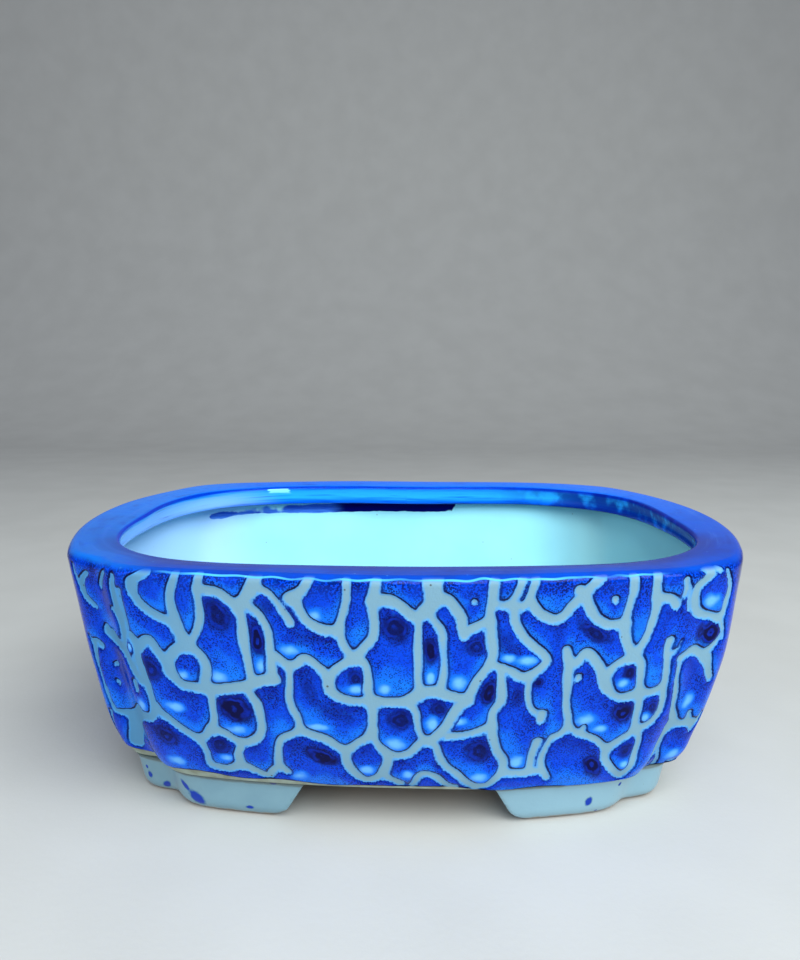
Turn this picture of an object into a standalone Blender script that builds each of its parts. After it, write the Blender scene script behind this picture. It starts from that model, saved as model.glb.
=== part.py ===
"""Bonsai pot: a four-lobed glazed ceramic pot on corner feet, with its drainage screens and their clips.

Run it with blender --background --python part.py, or from the text editor. Metres, +Z up, +X along
the pot. The pot stands on z = 0 with its centre on the Z axis.
"""

import math

import bmesh
import bpy

# Overall sizes
HALF_LENGTH = 0.1015
HALF_WIDTH = 0.0777
HEIGHT = 0.0752
GAP = 0.0003  # between pieces that touch

# Plan of the lobes. Each lobe has a bulging face, and its neighbours cut its ends back.
FRONT_BULGE_RADIUS = 0.284
SIDE_BULGE_RADIUS = 0.156
RIM_STEP = 0.023  # how far a lobe's end stops short of the neighbour's face, at the rim
BASE_STEP = 0.0155  # the same, at the foot
LOBE_ROUNDING = 22.0  # exponent of the soft minimum that rounds a lobe's end; higher is sharper
RIM_CREASE = 30.0  # exponent of the soft maximum that joins the lobes; higher is sharper
BASE_CREASE = 90.0
INNER_CREASE = 20.0
SIDE_SAMPLES = 8  # points on a quarter of the plan
FRONT_SAMPLES = 10

# Wall: (height, how far the wall stands in from the rim's edge)
UNDERSIDE_Z = 0.0119
WALL_PROFILE = (
    (0.0119, 0.0176),
    (0.0132, 0.0153),
    (0.0162, 0.0135),
    (0.0204, 0.0118),
    (0.0260, 0.0100),
    (0.0316, 0.0085),
    (0.0395, 0.0066),
    (0.0472, 0.0048),
    (0.0550, 0.0034),
    (0.0630, 0.0020),
    (0.0700, 0.0006),
    (0.0732, 0.0),
)
WALL = 0.006
FLOOR = 0.006
FLOOR_FILLET = 0.008
FLOOR_Z = UNDERSIDE_Z + FLOOR
INNER_LEVELS = (0.0600, 0.0500, 0.0400, 0.0320)  # heights of the inner wall's rings, from the top down

# Rim
EDGE_ROUNDING = 0.002
LAND = 0.0028  # width of the wall's own top, outside the ring
LIP_HEIGHT = 0.0065
RIM_FALL = 0.0012  # the flat falls this much from its outer to its inner edge
OPENING_HALF_LENGTH = 0.0903
OPENING_HALF_WIDTH = 0.0645
OPENING_EXPONENT = 2.96
LIP_ROUNDING = 0.0014

# Feet
FOOT_TOP = UNDERSIDE_Z - GAP
FOOT_INSET_TOP = 0.0186
FOOT_INSET_BOTTOM = 0.0194
FOOT_THICKNESS = 0.013
FOOT_CORNER_THICKNESS = 0.009  # from the crease to the foot's inner corner
FOOT_END_X = (0.0340, 0.0270)  # where the foot ends under the front lobe, at its bottom and its top
FOOT_END_Y = (0.0240, 0.0180)
FOOT_ROUNDING = 0.0016
FOOT_SAMPLES = 7
FOOT_LEVELS = 3

# Drainage
HOLE_X = 0.042
HOLE_RADIUS = 0.007
SCREEN_PITCH = 0.004
SCREEN_RIB = 0.0014
SCREEN_THICKNESS = 0.0012
SCREEN_COLUMNS = 9
SCREEN_ROWS = 7
WIRE_RADIUS = 0.00075
CLIP_LEG_X = SCREEN_PITCH
CLIP_LOOP_X = 0.011
CLIP_TAIL_X = 0.0125
CLIP_LOOP_Y = -SCREEN_PITCH
CLIP_BEND = 0.0014

BLUE_GLAZE = (0.02, 0.12, 0.72, 1.0)
WHITE_GLAZE = (0.72, 0.84, 0.86, 1.0)
BLACK_PLASTIC = (0.02, 0.02, 0.02, 1.0)
BROWN_WIRE = (0.30, 0.17, 0.10, 1.0)


def soft_min(a, b, power):
    return (a**-power + b**-power) ** (-1.0 / power)


def soft_max(a, b, power):
    return (a**power + b**power) ** (1.0 / power)


def bulge_reach(along, across, face, radius):
    """Distance from the centre to a bulging face, in the direction (across, along), both positive."""
    centre = face - radius
    return along * centre + math.sqrt((along * centre) ** 2 - centre**2 + radius**2)


def lobe_reaches(angle, inset, step):
    """Distances from the centre to the front lobe and to the side lobe in a direction."""
    across = max(abs(math.cos(angle)), 1e-9)
    along = max(abs(math.sin(angle)), 1e-9)
    half_length = HALF_LENGTH - inset
    half_width = HALF_WIDTH - inset
    front_face = bulge_reach(along, across, half_width, FRONT_BULGE_RADIUS)
    side_face = bulge_reach(across, along, half_length, SIDE_BULGE_RADIUS)
    front = soft_min(front_face, (half_length - step) / across, LOBE_ROUNDING)
    side = soft_min(side_face, (half_width - step) / along, LOBE_ROUNDING)
    return front, side


def crease_angle(inset, step):
    """The direction, in the first quarter, in which the two lobes meet."""
    low = math.radians(15)
    high = math.radians(65)
    for _ in range(40):
        middle = (low + high) / 2
        front, side = lobe_reaches(middle, inset, step)
        if side > front:
            low = middle
        else:
            high = middle
    return low


def plan_point(angle, inset, step, crease):
    front, side = lobe_reaches(angle, inset, step)
    reach = soft_max(front, side, crease)
    return reach * math.cos(angle), reach * math.sin(angle)


def height_share(z):
    return (z - UNDERSIDE_Z) / (HEIGHT - UNDERSIDE_Z)


def step_at(z):
    return BASE_STEP + (RIM_STEP - BASE_STEP) * height_share(z)


def quarter_angles(meeting):
    """Directions from +X towards +Y, with one of them on the crease."""
    side = [meeting * i / SIDE_SAMPLES for i in range(SIDE_SAMPLES)]
    rest = math.pi / 2 - meeting
    front = [meeting + rest * i / FRONT_SAMPLES for i in range(FRONT_SAMPLES)]
    return side + front


def full_turn(meeting):
    """Directions all round the pot, one of them on each crease."""
    first = quarter_angles(meeting)
    half = first + [math.pi / 2] + [math.pi - a for a in first[:0:-1]]
    return half + [math.pi + a for a in half]


def plan_ring(z, inset, crease):
    step = step_at(min(max(z, UNDERSIDE_Z), HEIGHT))
    angles = full_turn(crease_angle(inset, step))
    return [(*plan_point(a, inset, step, crease), z) for a in angles]


def opening_ring(z, inwards):
    """A ring on the smooth outline of the opening, moved in towards the centre."""
    half_length = OPENING_HALF_LENGTH - inwards
    half_width = OPENING_HALF_WIDTH - inwards
    power = OPENING_EXPONENT
    points = []
    for angle in full_turn(crease_angle(0.0, RIM_STEP)):
        across = abs(math.cos(angle)) / half_length
        along = abs(math.sin(angle)) / half_width
        reach = (across**power + along**power) ** (-1.0 / power)
        points.append((reach * math.cos(angle), reach * math.sin(angle), z))
    return points


def crease_at(z):
    share = min(max(height_share(z), 0.0), 1.0)
    return BASE_CREASE + (RIM_CREASE - BASE_CREASE) * share


def inset_at(z):
    """How far the outer wall stands in at a height, along the profile."""
    for (low_z, low_inset), (high_z, high_inset) in zip(WALL_PROFILE, WALL_PROFILE[1:]):
        if z <= high_z:
            share = (z - low_z) / (high_z - low_z)
            return low_inset + (high_inset - low_inset) * share
    return 0.0


def material(name, colour, roughness, metallic=0.0):
    made = bpy.data.materials.new(name)
    made.use_nodes = True
    shader = made.node_tree.nodes["Principled BSDF"]
    shader.inputs["Base Color"].default_value = colour
    shader.inputs["Roughness"].default_value = roughness
    shader.inputs["Metallic"].default_value = metallic
    made.diffuse_color = colour
    return made


def add_object(name, data, made_of):
    obj = bpy.data.objects.new(name, data)
    data.materials.append(made_of)
    bpy.context.scene.collection.objects.link(obj)
    return obj


def mesh_from(name, bm, smooth):
    bmesh.ops.recalc_face_normals(bm, faces=bm.faces)
    mesh = bpy.data.meshes.new(name)
    bm.to_mesh(mesh)
    bm.free()
    if smooth:
        mesh.shade_smooth()
    return mesh


def bridge(bm, lower, upper):
    """Quads between two closed loops of vertices."""
    count = len(lower)
    for i in range(count):
        j = (i + 1) % count
        bm.faces.new((lower[i], lower[j], upper[j], upper[i]))


def loft(name, rings, capped):
    """A skin through the rings. Capped closes both ends, and otherwise the last ring meets the first."""
    bm = bmesh.new()
    loops = [[bm.verts.new(point) for point in ring] for ring in rings]
    for lower, upper in zip(loops, loops[1:]):
        bridge(bm, lower, upper)
    if capped:
        bm.faces.new(loops[0])
        bm.faces.new(loops[-1])
    else:
        bridge(bm, loops[-1], loops[0])
    return mesh_from(name, bm, smooth=True)


def floor_fillet_rings():
    """Rings of the rounded corner between the inner wall and the floor, from the floor up."""
    rings = []
    top_z = FLOOR_Z + FLOOR_FILLET
    wall_inset = inset_at(top_z) + WALL
    for turn in (0, 30, 60, 90):
        out = FLOOR_FILLET * math.sin(math.radians(turn))
        up = FLOOR_FILLET * (1 - math.cos(math.radians(turn)))
        rings.append(plan_ring(FLOOR_Z + up, wall_inset + FLOOR_FILLET - out, INNER_CREASE))
    return rings


def body_rings():
    """From the middle of the underside, up the outside, over the top and down the inside to the floor."""
    rings = [plan_ring(z, inset, crease_at(z)) for z, inset in WALL_PROFILE]
    for turn in (45, 90):
        inwards = EDGE_ROUNDING * (1 - math.cos(math.radians(turn)))
        up = EDGE_ROUNDING * math.sin(math.radians(turn))
        rings.append(plan_ring(HEIGHT - EDGE_ROUNDING + up, inwards, RIM_CREASE))
    ledge_z = HEIGHT - LIP_HEIGHT - GAP
    rings.append(plan_ring(HEIGHT, LAND, RIM_CREASE))
    rings.append(plan_ring(ledge_z, LAND, RIM_CREASE))
    rings.append(plan_ring(ledge_z, inset_at(ledge_z) + WALL, INNER_CREASE))
    for z in INNER_LEVELS:
        rings.append(plan_ring(z, inset_at(z) + WALL, INNER_CREASE))
    rings.extend(reversed(floor_fillet_rings()))
    return rings


def add_hole_cutter(name, x):
    bm = bmesh.new()
    bmesh.ops.create_cone(
        bm, cap_ends=True, segments=32, radius1=HOLE_RADIUS, radius2=HOLE_RADIUS, depth=4 * FLOOR
    )
    mesh = mesh_from(name, bm, smooth=True)
    cutter = bpy.data.objects.new(name, mesh)
    bpy.context.scene.collection.objects.link(cutter)
    cutter.location = (x, 0.0, UNDERSIDE_Z + FLOOR / 2)
    cutter.hide_render = True
    cutter.display_type = "WIRE"
    return cutter


def build_body(glaze):
    body = add_object("pot_body", loft("pot_body", body_rings(), capped=True), glaze)
    for side, x in (("left", -HOLE_X), ("right", HOLE_X)):
        cut = body.modifiers.new("drain_" + side, "BOOLEAN")
        cut.operation = "DIFFERENCE"
        cut.solver = "EXACT"
        cut.object = add_hole_cutter("drain_cutter_" + side, x)
    return body


def blended_ring(outer, inner, share, z):
    """A ring part of the way from one ring to another."""
    return [
        (a[0] + (b[0] - a[0]) * share, a[1] + (b[1] - a[1]) * share, z)
        for a, b in zip(outer, inner)
    ]


def rim_rings():
    """Round the section of the ring: its top from outside to inside, the lip's face, then its underside."""
    seam = LAND + GAP
    bottom_z = HEIGHT - LIP_HEIGHT
    inner_z = HEIGHT - RIM_FALL
    outer = plan_ring(HEIGHT, seam, RIM_CREASE)
    rings = [outer]
    edge = opening_ring(inner_z, -LIP_ROUNDING)
    rings.append(blended_ring(outer, edge, 0.5, HEIGHT - RIM_FALL / 2))
    for turn in (0, 45, 90):
        inwards = LIP_ROUNDING * (math.sin(math.radians(turn)) - 1)
        down = LIP_ROUNDING * (1 - math.cos(math.radians(turn)))
        rings.append(opening_ring(inner_z - down, inwards))
    for turn in (0, 45, 90):
        inwards = -LIP_ROUNDING * (1 - math.cos(math.radians(turn)))
        down = LIP_ROUNDING * (math.sin(math.radians(turn)) - 1)
        rings.append(opening_ring(bottom_z - down, inwards))
    rings.append(plan_ring(bottom_z, seam, RIM_CREASE))
    return rings


def build_rim(glaze):
    return add_object("rim_ring", loft("rim_ring", rim_rings(), capped=False), glaze)


def angle_where(axis, wanted, inset, step):
    """The direction in the first quarter in which the plan reaches a given x (axis 0) or y (axis 1)."""
    low = 0.0
    high = math.pi / 2
    for _ in range(40):
        middle = (low + high) / 2
        reached = plan_point(middle, inset, step, BASE_CREASE)[axis]
        if (reached < wanted) == (axis == 1):
            low = middle
        else:
            high = middle
    return low


def foot_level(z, inset, end_x, end_y):
    """The foot's closed outline at a height, in the first quarter: out along the pot, back inside."""
    step = BASE_STEP
    meeting = crease_angle(inset, step)
    first = angle_where(1, end_y, inset, step)
    last = angle_where(0, end_x, inset, step)
    angles = [first + (meeting - first) * i / FOOT_SAMPLES for i in range(FOOT_SAMPLES)]
    angles += [meeting + (last - meeting) * i / FOOT_SAMPLES for i in range(FOOT_SAMPLES + 1)]
    outside = [plan_point(a, inset, step, BASE_CREASE) for a in angles]
    behind_crease = inset + step + FOOT_CORNER_THICKNESS
    corner = (HALF_LENGTH - behind_crease, HALF_WIDTH - behind_crease)
    inside = [
        (end_x, outside[-1][1] - FOOT_THICKNESS),
        corner,
        (outside[0][0] - FOOT_THICKNESS, end_y),
    ]
    return [(x, y, z) for x, y in outside + inside]


def foot_mesh(name, sign_x, sign_y):
    bm = bmesh.new()
    loops = []
    for i in range(FOOT_LEVELS):
        share = i / (FOOT_LEVELS - 1)
        inset = FOOT_INSET_BOTTOM + (FOOT_INSET_TOP - FOOT_INSET_BOTTOM) * share
        end_x = FOOT_END_X[0] + (FOOT_END_X[1] - FOOT_END_X[0]) * share
        end_y = FOOT_END_Y[0] + (FOOT_END_Y[1] - FOOT_END_Y[0]) * share
        outline = foot_level(FOOT_TOP * share, inset, end_x, end_y)
        loops.append([bm.verts.new((sign_x * x, sign_y * y, z)) for x, y, z in outline])
    for lower, upper in zip(loops, loops[1:]):
        bridge(bm, lower, upper)
    base = bm.faces.new(loops[0])
    bm.faces.new(loops[-1])
    weights = bm.edges.layers.float.new("bevel_weight_edge")
    for edge in base.edges:
        edge[weights] = 1.0
    return mesh_from(name, bm, smooth=False)


def build_foot(name, sign_x, sign_y, glaze):
    foot = add_object(name, foot_mesh(name, sign_x, sign_y), glaze)
    rounding = foot.modifiers.new("rounding", "BEVEL")
    rounding.limit_method = "WEIGHT"
    rounding.width = FOOT_ROUNDING
    rounding.segments = 2
    return foot


def rib_lines(count):
    """Where the ribs' edges lie across a screen with a number of openings."""
    opening = SCREEN_PITCH - SCREEN_RIB
    edge = -(count * SCREEN_PITCH + SCREEN_RIB) / 2
    lines = [edge]
    for _ in range(count):
        lines.append(lines[-1] + SCREEN_RIB)
        lines.append(lines[-1] + opening)
    return lines + [lines[-1] + SCREEN_RIB]


def screen_mesh(name):
    """A flat lattice: every face but the openings."""
    bm = bmesh.new()
    xs = rib_lines(SCREEN_COLUMNS)
    ys = rib_lines(SCREEN_ROWS)
    verts = [[bm.verts.new((x, y, 0.0)) for x in xs] for y in ys]
    for row in range(len(ys) - 1):
        for column in range(len(xs) - 1):
            if row % 2 and column % 2:
                continue
            near = verts[row]
            far = verts[row + 1]
            bm.faces.new((near[column], near[column + 1], far[column + 1], far[column]))
    return mesh_from(name, bm, smooth=False)


def build_screen(name, x, plastic):
    screen = add_object(name, screen_mesh(name), plastic)
    screen.location = (x, 0.0, FLOOR_Z + GAP + SCREEN_THICKNESS / 2)
    thick = screen.modifiers.new("thickness", "SOLIDIFY")
    thick.thickness = SCREEN_THICKNESS
    thick.offset = 0.0
    return screen


def arc(centre, start, turn, first_axis, second_axis, radius, steps=4):
    """Points along an arc. The axes give the plane, and the angles are in degrees."""
    points = []
    for i in range(steps + 1):
        angle = math.radians(start + turn * i / steps)
        points.append(
            tuple(
                centre[k]
                + radius * (math.cos(angle) * first_axis[k] + math.sin(angle) * second_axis[k])
                for k in range(3)
            )
        )
    return points


def clip_path():
    """The wire's centre line about the hole: tail, leg, loop on the screen, leg, tail."""
    top = FLOOR_Z + 2 * GAP + SCREEN_THICKNESS + WIRE_RADIUS
    low = UNDERSIDE_Z - GAP - WIRE_RADIUS
    bend = CLIP_BEND
    loop = -CLIP_LOOP_Y / 2
    half = [(CLIP_TAIL_X, 0.0, low)]
    half += arc((CLIP_LEG_X + bend, 0.0, low + bend), 270, -90, (1, 0, 0), (0, 0, 1), bend)
    half += arc((CLIP_LEG_X + bend, 0.0, top - bend), 180, -90, (1, 0, 0), (0, 0, 1), bend)
    half += arc((CLIP_LOOP_X, -loop, top), 90, -180, (1, 0, 0), (0, 1, 0), loop, steps=8)
    other = [(-x, y, z) for x, y, z in reversed(half)]
    return half + other


def build_clip(name, x, metal):
    curve = bpy.data.curves.new(name, "CURVE")
    curve.dimensions = "3D"
    curve.bevel_depth = WIRE_RADIUS
    curve.bevel_resolution = 2
    curve.use_fill_caps = True
    path = clip_path()
    spline = curve.splines.new("POLY")
    spline.points.add(len(path) - 1)
    for point, place in zip(spline.points, path):
        point.co = (*place, 1.0)
    spline.use_smooth = True
    clip = add_object(name, curve, metal)
    clip.location = (x, 0.0, 0.0)
    return clip


def clear_scene():
    for obj in list(bpy.data.objects):
        bpy.data.objects.remove(obj, do_unlink=True)


def main():
    clear_scene()
    blue = material("blue_glaze", BLUE_GLAZE, 0.1)
    rim_blue = material("rim_glaze", BLUE_GLAZE, 0.08)
    white = material("white_glaze", WHITE_GLAZE, 0.2)
    plastic = material("black_plastic", BLACK_PLASTIC, 0.5)
    wire = material("coated_wire", BROWN_WIRE, 0.35, metallic=0.8)
    build_body(blue)
    build_rim(rim_blue)
    build_foot("foot_front_left", -1, -1, white)
    build_foot("foot_front_right", 1, -1, white)
    build_foot("foot_back_left", -1, 1, white)
    build_foot("foot_back_right", 1, 1, white)
    for side, x in (("left", -HOLE_X), ("right", HOLE_X)):
        build_screen("drain_screen_" + side, x, plastic)
        build_clip("screen_clip_" + side, x, wire)


main()
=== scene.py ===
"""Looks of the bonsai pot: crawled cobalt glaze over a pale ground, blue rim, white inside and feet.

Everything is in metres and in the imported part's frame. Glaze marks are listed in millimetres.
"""

import functools
import math

import bmesh
import bpy
import numpy as np
from mathutils import Euler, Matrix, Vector


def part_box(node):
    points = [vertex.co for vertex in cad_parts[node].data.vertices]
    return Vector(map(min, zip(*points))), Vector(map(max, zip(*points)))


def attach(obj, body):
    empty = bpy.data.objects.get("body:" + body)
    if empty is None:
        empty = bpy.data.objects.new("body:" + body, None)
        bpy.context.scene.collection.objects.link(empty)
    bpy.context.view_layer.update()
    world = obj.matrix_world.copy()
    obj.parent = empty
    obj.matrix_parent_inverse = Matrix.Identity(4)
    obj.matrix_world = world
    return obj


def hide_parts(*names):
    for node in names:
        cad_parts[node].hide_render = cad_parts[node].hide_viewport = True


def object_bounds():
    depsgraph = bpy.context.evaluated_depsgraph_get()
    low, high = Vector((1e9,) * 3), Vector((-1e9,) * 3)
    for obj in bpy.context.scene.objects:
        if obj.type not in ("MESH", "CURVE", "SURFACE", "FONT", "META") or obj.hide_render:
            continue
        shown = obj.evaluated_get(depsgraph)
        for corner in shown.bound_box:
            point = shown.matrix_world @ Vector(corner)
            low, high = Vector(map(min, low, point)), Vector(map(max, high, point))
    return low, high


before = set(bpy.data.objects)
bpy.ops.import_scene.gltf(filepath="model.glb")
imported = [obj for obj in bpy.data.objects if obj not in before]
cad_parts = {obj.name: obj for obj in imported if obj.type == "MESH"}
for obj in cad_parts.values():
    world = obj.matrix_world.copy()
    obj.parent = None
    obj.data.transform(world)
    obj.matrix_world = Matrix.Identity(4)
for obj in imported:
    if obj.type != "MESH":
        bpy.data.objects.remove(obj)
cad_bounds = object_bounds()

MM = 0.001
SEED = 7

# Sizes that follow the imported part
HALF_LENGTH = cad_bounds[1].x
HALF_WIDTH = cad_bounds[1].y
HEIGHT = cad_bounds[1].z
UNDERSIDE_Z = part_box("pot_body")[0].z
LIP_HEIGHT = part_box("rim_ring")[1].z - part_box("rim_ring")[0].z
SCREEN_LOW, SCREEN_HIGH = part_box("drain_screen_right")
HOLE_X = (SCREEN_LOW.x + SCREEN_HIGH.x) / 2
FLOOR_Z = SCREEN_LOW.z - 0.3 * MM
FOOT_ENDS = {
    name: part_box(name)
    for name in ("foot_front_left", "foot_front_right", "foot_back_left", "foot_back_right")
}

# Plan of the lobes
FRONT_BULGE_RADIUS = 0.284
SIDE_BULGE_RIM = 0.119
SIDE_BULGE_BASE = 0.173
ENDS_STAND_OUT = 0.0010  # the rim's ends beyond the CAD's, as fired
ENDS_DRAWN_IN = 0.0005  # the base's ends short of the CAD's
LOBE_ROUNDING = 20.0
RIM_CREASE = 22.0
BASE_CREASE = 32.0
FOOT_CREASE = 24.0
INNER_CREASE = 20.0
# How far the long and the short lobe stop short of the neighbour's face at each corner of the
# hand-made pot. Corners: front left, front right, back left, back right.
LONG_STEP_RIM = np.array((0.0240, 0.0260, 0.0240, 0.0240))
SHORT_STEP_RIM = np.array((0.0175, 0.0128, 0.0120, 0.0120))
LONG_STEP_BASE = np.array((0.0172, 0.0185, 0.0160, 0.0160))
SHORT_STEP_BASE = np.array((0.0160, 0.0140, 0.0150, 0.0150))
FOOT_FORWARD = 0.0013  # how far the feet's side parts reach on past the side lobes' ends
LOW_RIGHT_FORWARD = 0.0014  # how far the front's right half stands out at the foot, as fired

# Wall: (height, how far the wall stands in from the rim's edge)
WALL_PROFILE = (
    (0.0132, 0.0153),
    (0.0162, 0.0135),
    (0.0204, 0.0118),
    (0.0260, 0.0100),
    (0.0316, 0.0085),
    (0.0395, 0.0066),
    (0.0472, 0.0048),
    (0.0550, 0.0034),
    (0.0630, 0.0020),
    (0.0700, 0.0006),
    (0.0732, 0.0),
)
WALL_FOOT = WALL_PROFILE[0][0]
WALL_TOP = WALL_PROFILE[-1][0]
WALL = 0.006
FLOOR_FILLET = 0.008
EDGE_ROUNDING = 0.002
BASE_TUCK = 0.0023  # how far the wall turns in under its foot
LAND = 0.0028
RIM_FALL = 0.0006
OPENING_OFFSET = 0.0007
OPENING_HALF_LENGTH = 0.0877
OPENING_HALF_WIDTH = 0.0644
OPENING_EXPONENT = 3.3
LIP_ROUNDING = 0.0014
HOLE_RADIUS = 0.007
HOLE_ROUNDING = 0.001

# Mesh density: columns in each eighth of the turn, from the back centre by the left to the front
SPAN_COLUMNS = (92, 74, 90, 150, 150, 90, 74, 92)
COLUMNS = sum(SPAN_COLUMNS)
WALL_ROWS = 98
COARSER = 2  # fine columns to one column inside the pot

# Relief of the glaze, in millimetres
GLAZE_PROUD = 0.42
GLAZE_SHOULDER = 1.1
RIM_PROUD = 0.25
GLAZE_ENDS_Z = 14.6  # where the glaze stops above the feet
FAR = 9.0  # distances beyond this don't matter
FAR_MARK = 3.0  # and measures of marks beyond this
GLAZE_SPECULAR = 0.10
RIM_SPECULAR = 0.04
ISLAND_PITCH = 12.0
HAND_LAID = 98  # how far round the rim from the front centre the listed lines go
WEB = 0.45  # how much meeting lines round each other's corners
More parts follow.
